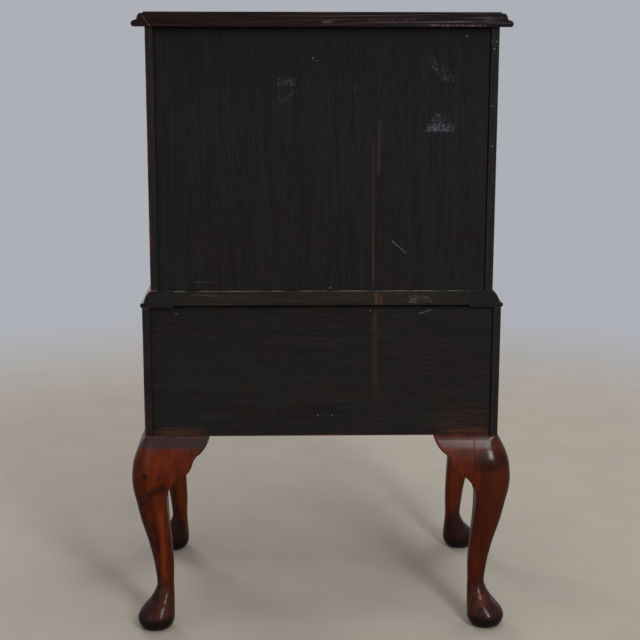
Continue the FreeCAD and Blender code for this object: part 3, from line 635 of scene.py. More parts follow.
# smooth is the angle past which edges stay sharp
def objectOf(name, bm, material=None, smooth=None, outwards=True):
    if outwards:
        bmesh.ops.recalc_face_normals(bm, faces=bm.faces)
    mesh = bpy.data.meshes.new(name)
    bm.to_mesh(mesh)
    bm.free()
    if material:
        mesh.materials.append(material)
    if smooth:
        mesh.shade_smooth()
        mesh.set_sharp_from_angle(angle=radians(smooth))
    return addObject(name, mesh)


def applied(obj):
    depsgraph = bpy.context.evaluated_depsgraph_get()
    shown = obj.evaluated_get(depsgraph)
    mesh = bpy.data.meshes.new_from_object(shown, preserve_all_data_layers=True, depsgraph=depsgraph)
    name = obj.name
    bpy.data.objects.remove(obj)
    return addObject(name, mesh)


def settle(obj, body, slot, *nodes):
    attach(obj, body)
    if nodes:
        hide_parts(*nodes)


# A skin over a run of rings, with a cap at each end or joined round
def joinRings(bm, rings, closed=False):
    made = [[bm.verts.new(point) for point in ring] for ring in rings]
    for ring, following in zip(made, made[1:] + made[:1] if closed else made[1:]):
        for k in range(len(ring)):
            after = (k + 1) % len(ring)
            bm.faces.new((ring[k], ring[after], following[after], following[k]))
    if not closed:
        bm.faces.new(made[0])
        bm.faces.new(made[-1])


def islandsOf(mesh):
    parent = list(range(len(mesh.vertices)))

    def root(i):
        while parent[i] != i:
            parent[i] = parent[parent[i]]
            i = parent[i]
        return i

    for edge in mesh.edges:
        a, b = root(edge.vertices[0]), root(edge.vertices[1])
        if a != b:
            parent[a] = b
    found = {}
    for i in range(len(parent)):
        found.setdefault(root(i), []).append(i)
    return [found[k] for k in sorted(found)]


def setAttribute(mesh, name, values, kind="FLOAT_VECTOR", field="vector"):
    if field == "vector":
        values = [number for value in values for number in value]
    mesh.attributes.new(name, kind, "POINT").data.foreach_set(field, values)


# Gives each board in a mesh its middle, its half size and a grain that runs along one axis
def markBoards(mesh, axis, seed):
    place, half, grain = {}, {}, {}
    for number, island in enumerate(islandsOf(mesh)):
        points = [mesh.vertices[i].co for i in island]
        low, high = [Vector([end(point[k] for point in points) for k in range(3)]) for end in (min, max)]
        turn = (seed * 7 + number * 3) * 0.37
        for i, point in zip(island, points):
            place[i], half[i] = point - (low + high) / 2, (high - low) / 2
            grain[i] = (point[axis] + turn, point[(axis + 1) % 3] + turn * 2, point[(axis + 2) % 3] + turn)
    for name, values in (("boardPlace", place), ("boardHalf", half), ("grainPlace", grain)):
        setAttribute(mesh, name, [values[i] for i in sorted(values)])


def copyOfNode(name, node):
    bm = bmesh.new()
    bm.from_mesh(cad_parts[node].data)
    bmesh.ops.remove_doubles(bm, verts=bm.verts, dist=2e-6)
    bmesh.ops.dissolve_limit(bm, angle_limit=radians(0.6), verts=bm.verts, edges=bm.edges)
    return objectOf(name, bm, outwards=False)


def easeEdges(obj, width, material, limit=30, steps=2):
    bevel = obj.modifiers.new("ease", "BEVEL")
    bevel.width, bevel.segments = width * mm, steps
    bevel.limit_method, bevel.angle_limit = "ANGLE", radians(limit)
    bevel.miter_outer = "MITER_ARC"
    obj.modifiers.new("flat faces", "WEIGHTED_NORMAL").weight = 100
    obj.data.shade_smooth()
    eased = applied(obj)
    eased.data.materials.clear()
    eased.data.materials.append(material)
    return eased


# Boards keep their CAD shape and get eased arrises

# Faces that look back carry the dull stain in a slot of their own: how far back they lie, and the stain.
rearFaces = {
    "chest_side": (180, sideRearWood), "stand_side": (180, sideRearWood), "top_board": (186, corniceRearWood),
    "cornice": (186, corniceRearWood), "waist_moulding": (180, waistRearWood),
}


def stainBack(mesh, node):
    for start, (back, material) in rearFaces.items():
        if node.startswith(start):
            mesh.materials.append(material)
            for face in mesh.polygons:
                if face.normal.y > 0.6 and face.center.y > (back - 1.2) * mm:
                    face.material_index = 1


def easedBoard(node, body, slot, material, width, axis, seed):
    obj = easeEdges(copyOfNode(node + "_eased", node), width, material)
    stainBack(obj.data, node)
    markBoards(obj.data, axis, seed)
    settle(obj, body, slot, node)


caseBoard, innerBoard = ("case_wood", sideWood), ("inner_wood", innerWood)
boards = {
    # node: slot, material, arris, grain axis
    "chest_back_panel": ("stained_panel", chestPanelWood, 0.3, 2),
    "stand_back_panel": ("stained_panel", standPanelWood, 0.3, 0),
    "waist_back_rail": ("stained_rail", railWood, 0.5, 0),
    "chest_side_right": (*caseBoard, 0.7, 2), "chest_side_left": (*caseBoard, 0.7, 2),
    "stand_side_right": (*caseBoard, 0.7, 1), "stand_side_left": (*caseBoard, 0.7, 1),
    "top_board": ("case_wood", topWood, 0.6, 0),
    **dict.fromkeys(("chest_bottom_board", "chest_rail_lower", "chest_rail_upper", "chest_top_rail", "stand_bottom_rail",
                     "stand_top_rail"), (*caseBoard, 0.5, 0)),
    "chest_runners": (*innerBoard, 0.5, 1), "stand_runners": (*innerBoard, 0.5, 1),
    "stand_corner_blocks": (*innerBoard, 0.8, 2), "drawer_stops": (*innerBoard, 0.5, 0),
}
for number, (node, board) in enumerate(boards.items()):
    easedBoard(node, "case", *board, number)
print("case boards eased")


# Mouldings, drawn as sections: how far out from the case face, and how far up

def arcThrough(start, end, turn, radius, count):
    start, end = Vector(start), Vector(end)
    chord = end - start
    left = Vector((-chord.y, chord.x)).normalized() * turn
    centre = start + chord / 2 + left * sqrt(max(0.0, radius ** 2 - (chord.length / 2) ** 2))
    first = atan2(start.y - centre.y, start.x - centre.x)
    sweep = atan2(end.y - centre.y, end.x - centre.x) - first
    sweep = (sweep + pi) % tau - pi
    angles = [first + sweep * k / count for k in range(1, count)]
    return [start] + [centre + radius * Vector((cos(a), sin(a))) for a in angles]


# A corner may carry the turn and the radius of an arc to the next one.
def sectionPoints(corners, count=12):
    points = []
    for corner, following in zip(corners, corners[1:] + corners[:1]):
        points += arcThrough(corner[:2], following[:2], *corner[2:], count) if len(corner) == 4 else [Vector(corner)]
    return points


cornice = {
    "side": 254.0, "front": 166.5, "back": 186.0, "foot": 919.0, "arris": 0.35, "nose": 16.5,
    "section": [(-9.5, 0), (15.5, 0, 1, 4.7), (14.4, 9.2), (10.7, 10.7, 1, 12.0), (7.0, 18.8), (1.5, 19.3)],
}
waist = {
    "side": 267.5, "front": 180.0, "back": 180.0, "foot": 510.0, "arris": 0.4, "nose": 1.2,
    "section": [(-47.0, 0), (0, 0, 1, 3.6), (0, 7.0), (-3.0, 7.0, 1, 26.0), (-12.5, 25.0), (-47.0, 25.0)],
}


# One length of moulding: its ends are cut where the sides mitre, or stop at the back.
def mouldingRing(shape, where, end, section):
    ring = []
    for out, up in section:
        side, front = shape["side"] + out, -(shape["front"] + out)
        if where == "front":
            x, y = (side if end else -side), front
        else:
            x, y = (-side if where == "left" else side), (shape["back"] if end else front)
        ring.append((x * mm, y * mm, (shape["foot"] + up) * mm))
    return ring


# Noses stand proud of the rest of a section, so they wear and hollows don't.
def markNoses(mesh, shape):
    noses = []
    for vertex in mesh.vertices:
        x, y, z = vertex.co / mm
        out = max(abs(x) - shape["side"], -y - shape["front"])
        noses.append(1.0 if out > shape["nose"] and z - shape["foot"] > 1.0 else 0.0)
    setAttribute(mesh, "arris", noses, "FLOAT", "value")


for moulding, shape, material in (("cornice", cornice, topWood), ("waist_moulding", waist, waistWood)):
    section = sectionPoints(shape["section"])
    for number, where in enumerate(("front", "left", "right")):
        node = f"{moulding}_{where}"
        bm = bmesh.new()
        joinRings(bm, [mouldingRing(shape, where, end, section) for end in (0, 1)])
        obj = easeEdges(objectOf(node + "_run", bm), shape["arris"], material, 34)
        stainBack(obj.data, node)
        markBoards(obj.data, 0 if where == "front" else 1, number + 20)
        markNoses(obj.data, shape)
        settle(obj, "case", "case_wood", node)
print("mouldings run")


# Legs and brackets

# A curve through every value that never swings past one
def smoothRun(knots, values):
    steps = [b - a for a, b in zip(knots, knots[1:])]
    rates = [(b - a) / step for a, b, step in zip(values, values[1:], steps)]
    slopes = [rates[0]]
    for before, after, step, following in zip(rates, rates[1:], steps, steps[1:]):
        near, far = 2 * following + step, following + 2 * step
        slopes.append((near + far) / (near / before + far / after) if before * after > 0 else 0.0)
    slopes.append(rates[-1])

    def at(x):
        i = max(0, min(len(steps) - 1, bisect_right(knots, x) - 1))
        t = (x - knots[i]) / steps[i]
        start, end = slopes[i] * steps[i], slopes[i + 1] * steps[i]
        rise = values[i + 1] - values[i]
        return values[i] + t * start + t * t * (3 * rise - 2 * start - end) + t * t * t * (start + end - 2 * rise)

    return at


leg = {
    "face": (267.5, 180.0), "height": 310.0, "ankle": 66.0, "swell": 21.85, "square": 37.5,
    # share of the way from ankle to top; inner and outer face; rounding of the outer, side and inner corners
    "knee": [(1.00, -37.5, 0.00, 3, 0.15, 2), (0.965, -37.5, 0.28, 20, 0.15, 2), (0.90, -37.5, 0.66, 32, 0.15, 2),
             (0.82, -37.5, 0.93, 36, 0.15, 2), (0.74, -37.5, 1.00, 34, 0.3, 3), (0.67, -35.0, 0.92, 26, 3.5, 6),
             (0.60, -31.5, 0.74, 18, 7, 8), (0.45, -33.0, 0.39, 14, 11, 11), (0.27, -36.5, -0.10, 13.5, 12.5, 12.5),
             (0.12, -38.0, -0.39, 13.5, 13, 13)],
    # share of the ankle's height; inner and outer face; rounding is nearly the half width
    "foot": [(1.00, -37.2, -11.2), (0.86, -37.7, -8.3), (0.68, -38.0, -1.3), (0.52, -38.4, 8.6), (0.38, -38.5, 15.7),
             (0.27, -38.5, 18.4), (0.17, -37.5, 17.6), (0.09, -35.2, 15.3), (0.03, -31.6, 11.6), (0.0, -28.5, 8.5)],
    "footRound": 0.96, "crown": 0.75, "wide": 16, "cornerSteps": 11, "flatSteps": 5, "kneeStep": 2.2, "footStep": 1.3,
    "endArris": 0.5, "tenon": {"place": (240.0, 152.5), "half": 8.0, "tall": 18.0},
}
bracket = {
    "thick": 18.0, "drop": 75.0, "seam": 0.04, "arris": 1.3, "rows": 64, "columns": 12, "roundSteps": 5, "inward": 10.0,
    "outline": [(60, 0, 1, 45), (40.5, 26.5), (28.5, 49.5), (24, 53.3, -1, 45), (0, 75)],
}


def legRuns():
    rows = []
    for share, inner, outer, *rounds in leg["knee"]:
        z = leg["ankle"] + share * (leg["height"] - leg["ankle"])
        rows.append((z, inner, outer * leg["swell"], *rounds))
    for share, inner, outer in leg["foot"]:
        rows.append((share * leg["ankle"], inner, outer, *[leg["footRound"] * (outer - inner) / 2] * 3))
    knots, *columns = zip(*sorted(rows))
    return [smoothRun(knots, column) for column in columns]


runs = legRuns()


# One level of the leg: corner arcs joined by flats, measured outwards from the two case faces
def legLevel(z, shrink):
    inner, outer, *rounds = [run(z) for run in runs]
    outerRound, sideRound, innerRound = [max(0.1, size - shrink) for size in rounds]
    inner, outer = inner + shrink, outer - shrink
    arcs = []
    turns = ((1, 1, outerRound, 0), (0, 1, sideRound, 90), (0, 0, innerRound, 180), (1, 0, sideRound, 270))
    for right, up, size, start in turns:
        centre = Vector((outer - size if right else inner + size, outer - size if up else inner + size))
        # a wide corner of the knee turns slowly at its ends, so that its faces are crowned
        wide = min(1.0, max(0.0, size / leg["wide"] - 1)) if z > leg["ankle"] else 0.0
        bend = 2 / (2 + leg["crown"] * wide)
        arc = []
        for k in range(leg["cornerSteps"] + 1):
            angle = radians(start + 90 * k / leg["cornerSteps"])
            arc.append(centre + size * Vector([copysign(abs(t) ** bend, t) for t in (cos(angle), sin(angle))]))
        arcs.append(arc)
    ring = []
    for arc, following in zip(arcs, arcs[1:] + arcs[:1]):
        ring += arc + [arc[-1].lerp(following[0], k / leg["flatSteps"]) for k in range(1, leg["flatSteps"])]
    return ring


def placed(ring, z, signX, signY):
    return [(signX * (leg["face"][0] + u) * mm, signY * (leg["face"][1] + v) * mm, z * mm) for u, v in ring]


# How far out each point is from the corner of the case, besides the marks of a board
def finishCorner(name, bm, signX, signY, smooth, seed):
    obj = objectOf(name, bm, rearLegWood if signY > 0 else frontLegWood, smooth)
    markBoards(obj.data, 2, seed)
    points = [vertex.co for vertex in obj.data.vertices]
    faceX, faceY = leg["face"]
    setAttribute(obj.data, "cornerPlace", [(signX * p.x - faceX * mm, signY * p.y - faceY * mm, p.z) for p in points])
    return obj


def makeLeg(name, signX, signY, seed):
    levels, z, top = [], 0.0, leg["height"]
    while z < top - 1.0:
        levels.append(z)
        z += leg["footStep"] if z < leg["ankle"] else leg["kneeStep"]
    levels += [top - leg["endArris"], top]
    bm = bmesh.new()
    joinRings(bm, [placed(legLevel(z, leg["endArris"] if z in (0.0, top) else 0.0), z, signX, signY) for z in levels])
    (x, y), half, tall = leg["tenon"].values()
    square = [(signX * x + a, signY * y + b) for a, b in ((-half, -half), (half, -half), (half, half), (-half, half))]
    joinRings(bm, [[(x * mm, y * mm, z * mm) for x, y in square] for z in (top, top + tall)])
    return finishCorner(name, bm, signX, signY, 50, seed)


# The bracket's length left at each drop below the case
def outlineWidth():
    points = [point for point in sectionPoints(bracket["outline"] + [(0, -1)], 24) if point.y >= 0]
    return smoothRun([point.y for point in points], [point.x for point in points])


# Levels of a bracket from its top down, and how near each point is to the sawn edge, counted up from a little inside it
def bracketRings():
    width, steps, back = outlineWidth(), bracket["roundSteps"], -bracket["thick"]
    rings, edges = [], []
    for row in range(bracket["rows"] + 1):
        drop = (bracket["drop"] - 0.6) * row / bracket["rows"]
        z = leg["height"] - drop
        topArris = 0.4 if row == 0 else 0.0
        near = runs[0](z) - bracket["seam"]
        far = -leg["square"] - bracket["seam"] - width(drop) + topArris
        front = runs[1](z) - topArris
        size = min(bracket["arris"], (near - far) * 0.45)
        ring = [(near - (near - far - size) * k / bracket["columns"], front) for k in range(bracket["columns"] + 1)]
        for k in range(1, steps + 1):
            angle = radians(90 * k / steps)
            ring.append((far + size - size * sin(angle), front - size + size * cos(angle)))
        ring += [(far, back + (front - size - back) * 0.5), (far, back), ((far + near) / 2, back), (near, back)]
        ring.append((near, back + (front - back) * 0.5))
        rings.append((ring, z))
        slope = (width(min(drop + 0.5, bracket["drop"])) - width(drop)) / 0.5
        edges += [max(0.0, bracket["inward"] - (u - far) / hypot(1, slope)) * mm for u, v in ring]
    return rings, edges


def makeBrackets(name, signX, signY, seed):
    bm = bmesh.new()
    rings, edges = bracketRings()
    joinRings(bm, [placed(ring, z, signX, signY) for ring, z in rings])
    joinRings(bm, [placed([(v, u) for u, v in ring], z, signX, signY) for ring, z in rings])
    obj = finishCorner(name, bm, signX, signY, 40, seed)
    setAttribute(obj.data, "sawnEdge", edges * 2, "FLOAT", "value")
    return obj


corners = {"rear_right": (1, 1), "rear_left": (-1, 1), "front_right": (1, -1), "front_left": (-1, -1)}
for number, (where, signs) in enumerate(corners.items()):
    settle(makeLeg(f"leg_{where}_carved", *signs, number + 30), "case", "leg_wood", f"leg_{where}")
    brackets = makeBrackets(f"knee_brackets_{where}_carved", *signs, number + 44)
    settle(brackets, "case", "leg_wood", f"knee_brackets_{where}")
print("legs and brackets carved")


# Geometry Nodes

def newGrowth(name, inputs):
    return newTree(name, "Geometry", {"Geometry": "Geometry", **inputs, "Material": "Material"}, {"Geometry": "Geometry"})


def finishTree(tree, geometry, given, ends):
    whole = geo(tree, "RealizeInstances", {"Geometry": geometry})
    feed(ends["Geometry"], geo(tree, "SetMaterial", {"Geometry": whole, "Material": given["Material"]}))
    return tree


def runTree(obj, tree, values):
    modifier = obj.modifiers.new("build", "NODES")
    modifier.node_group = tree
    for item in tree.interface.items_tree:
        if item.in_out == "INPUT" and item.name in values:
            modifier[item.identifier] = values[item.name]
    return applied(obj)


# A turned shape about an axis towards -Y: radius, and how far out
def latheRings(profile, steps, stand=0.0):
    turns = [(cos(tau * k / steps), sin(tau * k / steps)) for k in range(steps)]
    return [[(radius * mm * x, -(out + stand) * mm, radius * mm * z) for x, z in turns] for radius, out in profile]


# Panel pins: one head repeated round a panel's edge, a little out of line

pins = {
    "panelFace": 0.175, "inset": 0.007, "pitch": 0.088, "wander": 0.0016,
    # one head, in mm
    "radius": 1.1, "rise": 0.25, "paleRise": 0.3, "sunk": 0.4,
    # half width, foot and head of each panel
    "panels": {"chest": (0.2421, 0.535, 0.919), "stand": (0.2556, 0.310, 0.510)},
    "pale": [(-0.0718, 0.5034), (0.2175, 0.4998), (0.0137, 0.8751), (-0.2076, 0.9064), (-0.0118, 0.5386),
             (0.0057, 0.3426), (-0.0155, 0.3425)],
}


def makePinTree():
    inputs = {"Width": 0.46, "Height": 0.36, "Pitch": 0.09, "Wander": 0.002, "Middle": (0, 0, 0)}
    tree, given, ends = newGrowth("panel pins", inputs)
    line = geo(tree, "CurvePrimitiveQuadrilateral", {"Width": given["Width"], "Height": given["Height"]})
    points = geo(tree, "CurveToPoints", {"Curve": line, "Length": given["Pitch"]}, mode="LENGTH")
    # the frame lies in XY, so it is stood up to face the back
    stood = {"Geometry": points, "Translation": given["Middle"], "Rotation": (pi / 2, 0, 0)}
    upright = geo(tree, "Transform", stood)
    reach = {"Min": given["Wander"] * (-1, 0, -1), "Max": given["Wander"] * (1, 0, 1), "Seed": 11}
    shift = addNode(tree, "FunctionNodeRandomValue", reach, data_type="FLOAT_VECTOR").outputs[0]
    moved = geo(tree, "SetPosition", {"Geometry": upright, "Offset": Wire(shift)})
    size = addNode(tree, "FunctionNodeRandomValue", {2: 0.8, 3: 1.1, 8: 5}, data_type="FLOAT").outputs[1]
    heads = geo(tree, "InstanceOnPoints", {"Points": moved, "Instance": given["Geometry"], "Scale": Wire(size)})
    return finishTree(tree, heads, given, ends)


# A low dome that faces the back, sunk a little at its rim
def pinHead(name, rise):
    radius = pins["radius"]
    bm = bmesh.new()
    profile = [(radius, pins["sunk"]), (radius, 0), (radius * 0.86, -rise * 0.6), (radius * 0.5, -rise * 0.95)]
    joinRings(bm, latheRings(profile, 12))
    return objectOf(name, bm, smooth=50)


pinTree = makePinTree()
for name, (halfWidth, low, high) in pins["panels"].items():
    values = {"Width": 2 * (halfWidth - pins["inset"]), "Height": high - low - 2 * pins["inset"], "Pitch": pins["pitch"],
              "Wander": pins["wander"], "Middle": (0, pins["panelFace"], (low + high) / 2), "Material": darkPin}
    settle(runTree(pinHead(f"{name}_panel_pins", pins["rise"]), pinTree, values), "case", "stained_panel")


# Pin heads that have lost their stain, at their own places
def makeSpotTree():
    tree, given, ends = newGrowth("bare pins", {"Instance": "Object", "Scale": 1.0})
    head = geo(tree, "ObjectInfo", {"Object": given["Instance"]}, "Geometry")
    spots = geo(tree, "MeshToPoints", {"Mesh": given["Geometry"]})
    heads = geo(tree, "InstanceOnPoints", {"Points": spots, "Instance": head, "Scale": given["Scale"]})
    return finishTree(tree, heads, given, ends)


spotMesh = bpy.data.meshes.new("bare_pins")
spotMesh.from_pydata([(x, pins["panelFace"], z) for x, z in pins["pale"]], [], [])
paleHead = pinHead("pale_head", pins["paleRise"])
values = {"Instance": paleHead, "Scale": 1.0, "Material": palePin}
settle(runTree(addObject("bare_panel_pins", spotMesh), makeSpotTree(), values), "case", "stained_panel")
bpy.data.objects.remove(paleHead)
print("pins set")


# Dried glue squeezed from the cornice joints and along the tops of the rear brackets

glue = {
    "thick": 0.00045, "step": 0.0012,
    # start and end (across, up), width, how far back
    "lines": [((0.2577, 0.9364), (0.2447, 0.9184), 0.001, 0.1859), ((-0.2577, 0.9364), (-0.247, 0.9215), 0.0006, 0.1859),
              ((0.171, 0.3102), (0.23, 0.3102), 0.0006, 0.1799), ((0.2305, 0.3102), (0.2665, 0.3102), 0.0006, 0.1799)],
}


# A thin ragged ribbon between two places on a back face
def glueRings(start, end, width, back):
    a, b = Vector((start[0], back, start[1])), Vector((end[0], back, end[1]))
    across, out = Vector((0, 1, 0)).cross(b - a).normalized(), Vector((0, glue["thick"], 0))
    count = max(4, int((b - a).length / glue["step"]))
    rings = []
    for k in range(count + 1):
        share = k / count
        ends = min(1.0, 6 * min(share, 1 - share) + 0.15)
        ragged = width * (0.55 + 0.45 * sin(k * 2.3 + a.x * 900) * cos(k * 0.9)) * ends
        centre, half = a.lerp(b, share), across * ragged / 2
        rings.append([centre + half, centre + out * 0.8, centre - half, centre - out * 0.4])
    return rings


bm = bmesh.new()
for line in glue["lines"]:
    joinRings(bm, glueRings(*line))
settle(objectOf("glue_lines", bm, driedGlue), "case", "leg_wood")


# Drawers

drawers = {
    # body: face, floor, ceiling, inside half width
    "lower_drawer": (-166.5, 550.0, 670.0, 236.0),
    "middle_drawer": (-166.5, 685.0, 793.0, 236.0),
    "upper_drawer": (-166.5, 808.0, 904.0, 236.0),
    "stand_drawer": (-180.0, 332.0, 495.0, 249.5),
}
drawerBoards = {
    # arris, grain axis, first seed
    "front": (0.4, 0, 50), "sides": (0.4, 1, 60), "back": (0.4, 0, 70), "bottom": (0.3, 0, 80),
}
bead = {"width": 3.2, "stand": 1.6, "depth": 5.0, "seat": 0.3, "top": 1.4, "side": 1.0, "steps": 12}


# The cock bead: a round-nosed strip mitred round the drawer front
def makeBead(name, face, low, high, half):
    radius = bead["width"] / 2
    shoulder = bead["stand"] - radius
    section = [(0.0, -bead["depth"]), (0.0, shoulder)]
    for k in range(1, bead["steps"]):
        angle = pi * k / bead["steps"]
        section.append((radius - radius * cos(angle), shoulder + radius * sin(angle)))
    section += [(bead["width"], shoulder), (bead["width"], -bead["depth"])]
    rings = []
    for side, level, up in ((1, low, 1), (1, high, -1), (-1, high, -1), (-1, low, 1)):
        ring = [(side * (half - inset), face - stand, level + up * inset) for inset, stand in section]
        rings.append([(x * mm, y * mm, z * mm) for x, y, z in ring])
    bm = bmesh.new()
    joinRings(bm, rings, closed=True)
    return objectOf(name, bm, frontWood, 38)


def makeDrawerFront(body, face, floor, ceiling, inside, arris, axis, seed):
    node = f"{body}_front"
    front = copyOfNode(f"{node}_eased", node)
    # the CAD bead is dropped, and the round one takes its place
    points, deepest = front.data.vertices, (face + bead["depth"] + 1) * mm
    dropped = [i for group in islandsOf(front.data) if max(points[i].co.y for i in group) < deepest for i in group]
    bm = bmesh.new()
    bm.from_mesh(front.data)
    bm.verts.ensure_lookup_table()
    bmesh.ops.delete(bm, geom=[bm.verts[i] for i in dropped], context="VERTS")
    bm.to_mesh(front.data)
    bm.free()
    front = easeEdges(front, arris, frontWood, 40)
    strip = makeBead(f"{body}_bead", face, floor + bead["seat"], ceiling - bead["top"], inside - bead["side"])
    for obj in (front, strip):
        markBoards(obj.data, axis, seed)
        settle(obj, body, "front_wood", node)


for number, (body, sizes) in enumerate(drawers.items()):
    for part, (arris, axis, seed) in drawerBoards.items():
        if part == "front":
            makeDrawerFront(body, *sizes, arris, axis, number + seed)
        else:
            easedBoard(f"{body}_{part}", body, "drawer_lining", liningWood, arris, axis, number + seed)
print("drawers made")


# Pulls: bat-wing plates, turned posts, nuts and swinging bails

pull = {
    "spacing": 250.0, "postSpacing": 60.0, "plateThick": 1.8, "plateArris": 0.6, "frontThick": 18.0, "bailStand": 9.2,
    "plate": [(0, 20, -1, 13), (12, 12, -1, 24), (43, -2), (22, -15, -1, 12), (0, -21)],
    # radius and how far it stands from the plate
    "post": [(5.0, 0.0), (5.0, 0.7), (4.4, 1.3), (3.3, 2.0), (2.9, 3.2), (3.0, 4.4), (3.7, 5.3), (4.5, 6.3), (5.0, 7.6),
             (5.0, 10.2), (4.6, 11.4), (3.7, 12.3), (2.2, 12.8), (0.8, 13.0)],
    "nut": 5.5, "nutThick": 3.5, "shank": 2.2, "shankEnd": 4.5,
    "bail": [(31.2, 0), (34.5, 0), (37.8, -0.4), (39.8, -2.6), (40.4, -6.5), (39.9, -11.0), (37.2, -16.2), (33.8, -19.2),
             (29.6, -21.4), (25.0, -23.2), (17.0, -24.4), (8.0, -24.9), (0.0, -25.0)],
    "wire": 1.55, "wireMiddle": 1.8, "wireSides": 14,
}


# One post with its shank and nut; the tree sets four of them on each drawer
def makePost(name):
    size, shank, inside = pull["nut"], pull["shank"], -pull["frontThick"]
    nutBack, shankBack = inside - pull["nutThick"], inside - pull["shankEnd"]
    bm = bmesh.new()
    joinRings(bm, latheRings(pull["post"], 20, pull["plateThick"]))
    joinRings(bm, latheRings([(shank - 0.4, shankBack), (shank, shankBack + 0.4), (shank, 1.5)], 12))
    nut = [(size * 0.86, nutBack), (size, nutBack + 0.5), (size, inside - 0.3), (size * 0.9, inside)]
    joinRings(bm, latheRings(nut, 6))
    return objectOf(name, bm, smooth=40)


def makePostTree():
    tree, given, ends = newGrowth("pull posts", {"Pull Spacing": 0.25, "Post Spacing": 0.06, "Place": (0, 0, 0)})
    placedOn = given["Geometry"]
    for name in ("Post Spacing", "Pull Spacing"):
        start = shade(tree, "CombineXYZ", {"X": given[name] * -0.5})
        step = shade(tree, "CombineXYZ", {"X": given[name]})
        line = geo(tree, "MeshLine", {"Count": 2, "Start Location": start, "Offset": step})
        placedOn = geo(tree, "InstanceOnPoints", {"Points": line, "Instance": placedOn})
    four = geo(tree, "Transform", {"Geometry": placedOn, "Translation": given["Place"]})
    return finishTree(tree, four, given, ends)


def plateOutline():
    half = [point for point in sectionPoints(pull["plate"] + [(0, 0)], 10)[:-1] if point.x >= -1e-6]
    return half + [Vector((-point.x, point.y)) for point in half[-2:0:-1]]


def makePlates(name, face, middle):
    bm = bmesh.new()
    for centre in (-pull["spacing"] / 2, pull["spacing"] / 2):
        joinRings(bm, [[((centre + p.x) * mm, (face - out) * mm, (middle + p.y) * mm) for p in plateOutline()]
                       for out in (0.0, pull["plateThick"])])
    return easeEdges(objectOf(name, bm), pull["plateArris"], brass, 50, 3)


# A bail swept along its line, thickest at the bottom
def makeBailTree():
    tree, given, ends = newGrowth("bail", {"Thin": 0.0015, "Thick": 0.0018, "Sides": 14})
    line = geo(tree, "MeshToCurve", {"Mesh": given["Geometry"]})
    smooth = geo(tree, "CurveSplineType", {"Curve": line}, spline_type="CATMULL_ROM")
    even = geo(tree, "ResampleCurve", {"Curve": smooth, "Count": 72})
    wave = calc("SINE", geo(tree, "SplineParameter", output="Factor") * pi)
    size = shade(tree, "MapRange", {"Value": wave, "To Min": given["Thin"], "To Max": given["Thick"]})
    ring = geo(tree, "CurvePrimitiveCircle", {"Resolution": given["Sides"], "Radius": 1.0})
    swept = geo(tree, "CurveToMesh", {"Curve": even, "Profile Curve": ring, "Scale": size, "Fill Caps": True})
    return finishTree(tree, geo(tree, "SetShadeSmooth", {"Geometry": swept}), given, ends)


def makeBail(name, tree, x, y, z):
    line = pull["bail"] + [(-across, up) for across, up in pull["bail"][-2::-1]]
    mesh = bpy.data.meshes.new(name)
    points = [((x + a) * mm, y * mm, (z + b) * mm) for a, b in line]
    mesh.from_pydata(points, [(k, k + 1) for k in range(len(line) - 1)], [])
    values = {"Thin": pull["wire"] * mm, "Thick": pull["wireMiddle"] * mm, "Sides": pull["wireSides"], "Material": brass}
    return runTree(addObject(name, mesh), tree, values)


postTree, bailTree = makePostTree(), makeBailTree()
for body, (face, floor, ceiling, inside) in drawers.items():
    middle = (floor + ceiling) / 2
    values = {"Pull Spacing": pull["spacing"] * mm, "Post Spacing": pull["postSpacing"] * mm,
              "Place": (0, face * mm, middle * mm), "Material": brass}
    settle(makePlates(f"{body}_plates", face, middle), body, "aged_brass", f"{body}_pull_fittings")
    settle(runTree(makePost(f"{body}_posts"), postTree, values), body, "aged_brass", f"{body}_pull_fittings")
    for side, sign in (("left", -1), ("right", 1)):
        bailBody = body.replace("drawer", "bail") + f"_{side}"
        out = face - pull["plateThick"] - pull["bailStand"]
        bail = makeBail(f"{bailBody}_swept", bailTree, sign * pull["spacing"] / 2, out, middle)
        settle(bail, bailBody, "aged_brass", f"{body}_bail_{side}")
print("pulls hung")


# Camera, lamps, floor

view = {
    "place": (0.0562, 2.2359, 0.9302), "lens": 79.33, "sensor": 36.0, "turned": -1.480, "down": 12.055, "rolled": 0.108,
}
studio = {
    "backdrop": (173, 176, 183), "floor": (150, 142, 130), "mottle": (146, 138, 126), "radius": 12.0, "fade": (1.15, 2.4),
    # place, width, height, watts
    "lamps": {
        "key": ((-1.15, 2.9, 1.75), 0.36, 0.66, 36),
        "fill": ((1.9, 2.3, 1.4), 2.2, 2.2, 8),
        "shoulder": ((-0.85, 2.2, 2.46), 0.6, 0.85, 33),
        "top": ((-0.2, 0.2, 3.1), 1.6, 1.2, 30),
        "frontKey": ((1.5, -2.7, 2.0), 1.2, 1.0, 46),
        "frontFill": ((-1.9, -2.1, 1.4), 1.5, 1.5, 20),
    },
    "aim": (0.0, 0.0, 0.45),
}


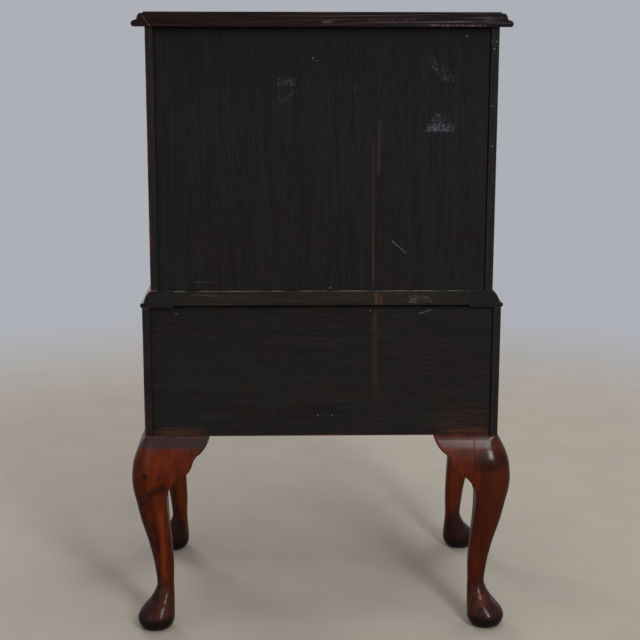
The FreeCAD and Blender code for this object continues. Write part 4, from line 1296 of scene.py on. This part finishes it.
def makeCamera():
    data = bpy.data.cameras.new("camera")
    data.lens, data.sensor_fit = view["lens"], "HORIZONTAL"
    data.sensor_width = data.sensor_height = view["sensor"]
    data.clip_start, data.clip_end = 0.05, 60.0
    camera = addObject("camera", data)
    turn = Matrix.Rotation(radians(180 + view["turned"]), 4, "Z")
    tilt = Matrix.Rotation(radians(90 - view["down"]), 4, "X")
    roll = Matrix.Rotation(radians(view["rolled"]), 4, "Z")
    camera.matrix_world = Matrix.Translation(view["place"]) @ turn @ tilt @ roll
    scene.camera = camera


def makeLamps():
    for name, (place, width, height, watts) in studio["lamps"].items():
        data = bpy.data.lights.new(name, "AREA")
        data.shape, data.size, data.size_y, data.energy = "RECTANGLE", width, height, watts
        lamp = addObject(name, data)
        aim = Vector(studio["aim"]) - Vector(place)
        lamp.matrix_world = Matrix.Translation(place) @ aim.to_track_quat("-Z", "Y").to_matrix().to_4x4()
        lamp.visible_camera = False


def makeWorld():
    world = bpy.data.worlds.new("backdrop")
    world.use_nodes = True
    tree = world.node_tree
    tree.nodes.clear()
    background = shade(tree, "Background", {"Color": studio["backdrop"], "Strength": 1.0})
    addNode(tree, "ShaderNodeOutputWorld", {"Surface": background})
    scene.world = world


# The floor fades into the backdrop, for the camera and for what shines or shows through.
def makeFloor():
    bm = bmesh.new()
    bmesh.ops.create_circle(bm, cap_ends=True, segments=128, radius=studio["radius"])
    for vertex in bm.verts:
        vertex.co.z = -0.0002
    material, tree, shader = newMaterial("floor")
    place = shade(tree, "TexCoord", output="Object")
    colour = mix(ease(noise(place, 9, 5, 0.6), 0.3, 0.75), studio["floor"], studio["mottle"])
    feedAll(shader, {"Base Color": colour, "Roughness": 0.85, "Specular IOR Level": 0.2})
    far = ease(calc("LENGTH", place), *studio["fade"])
    rays = [shade(tree, "LightPath", output=f"Is {kind} Ray") for kind in ("Camera", "Glossy", "Transmission")]
    seen = larger(larger(rays[0], rays[1]), rays[2])
    glow = shade(tree, "Emission", {"Color": studio["backdrop"], "Strength": 1.0})
    both = shade(tree, "MixShader", {0: far * seen, 1: Wire(shader.outputs[0]), 2: glow})
    feedAll(tree.get_output_node("ALL"), {"Surface": both})
    objectOf("floor", bm, material, outwards=False)


makeCamera()
makeLamps()
makeWorld()
makeFloor()
print("studio set")
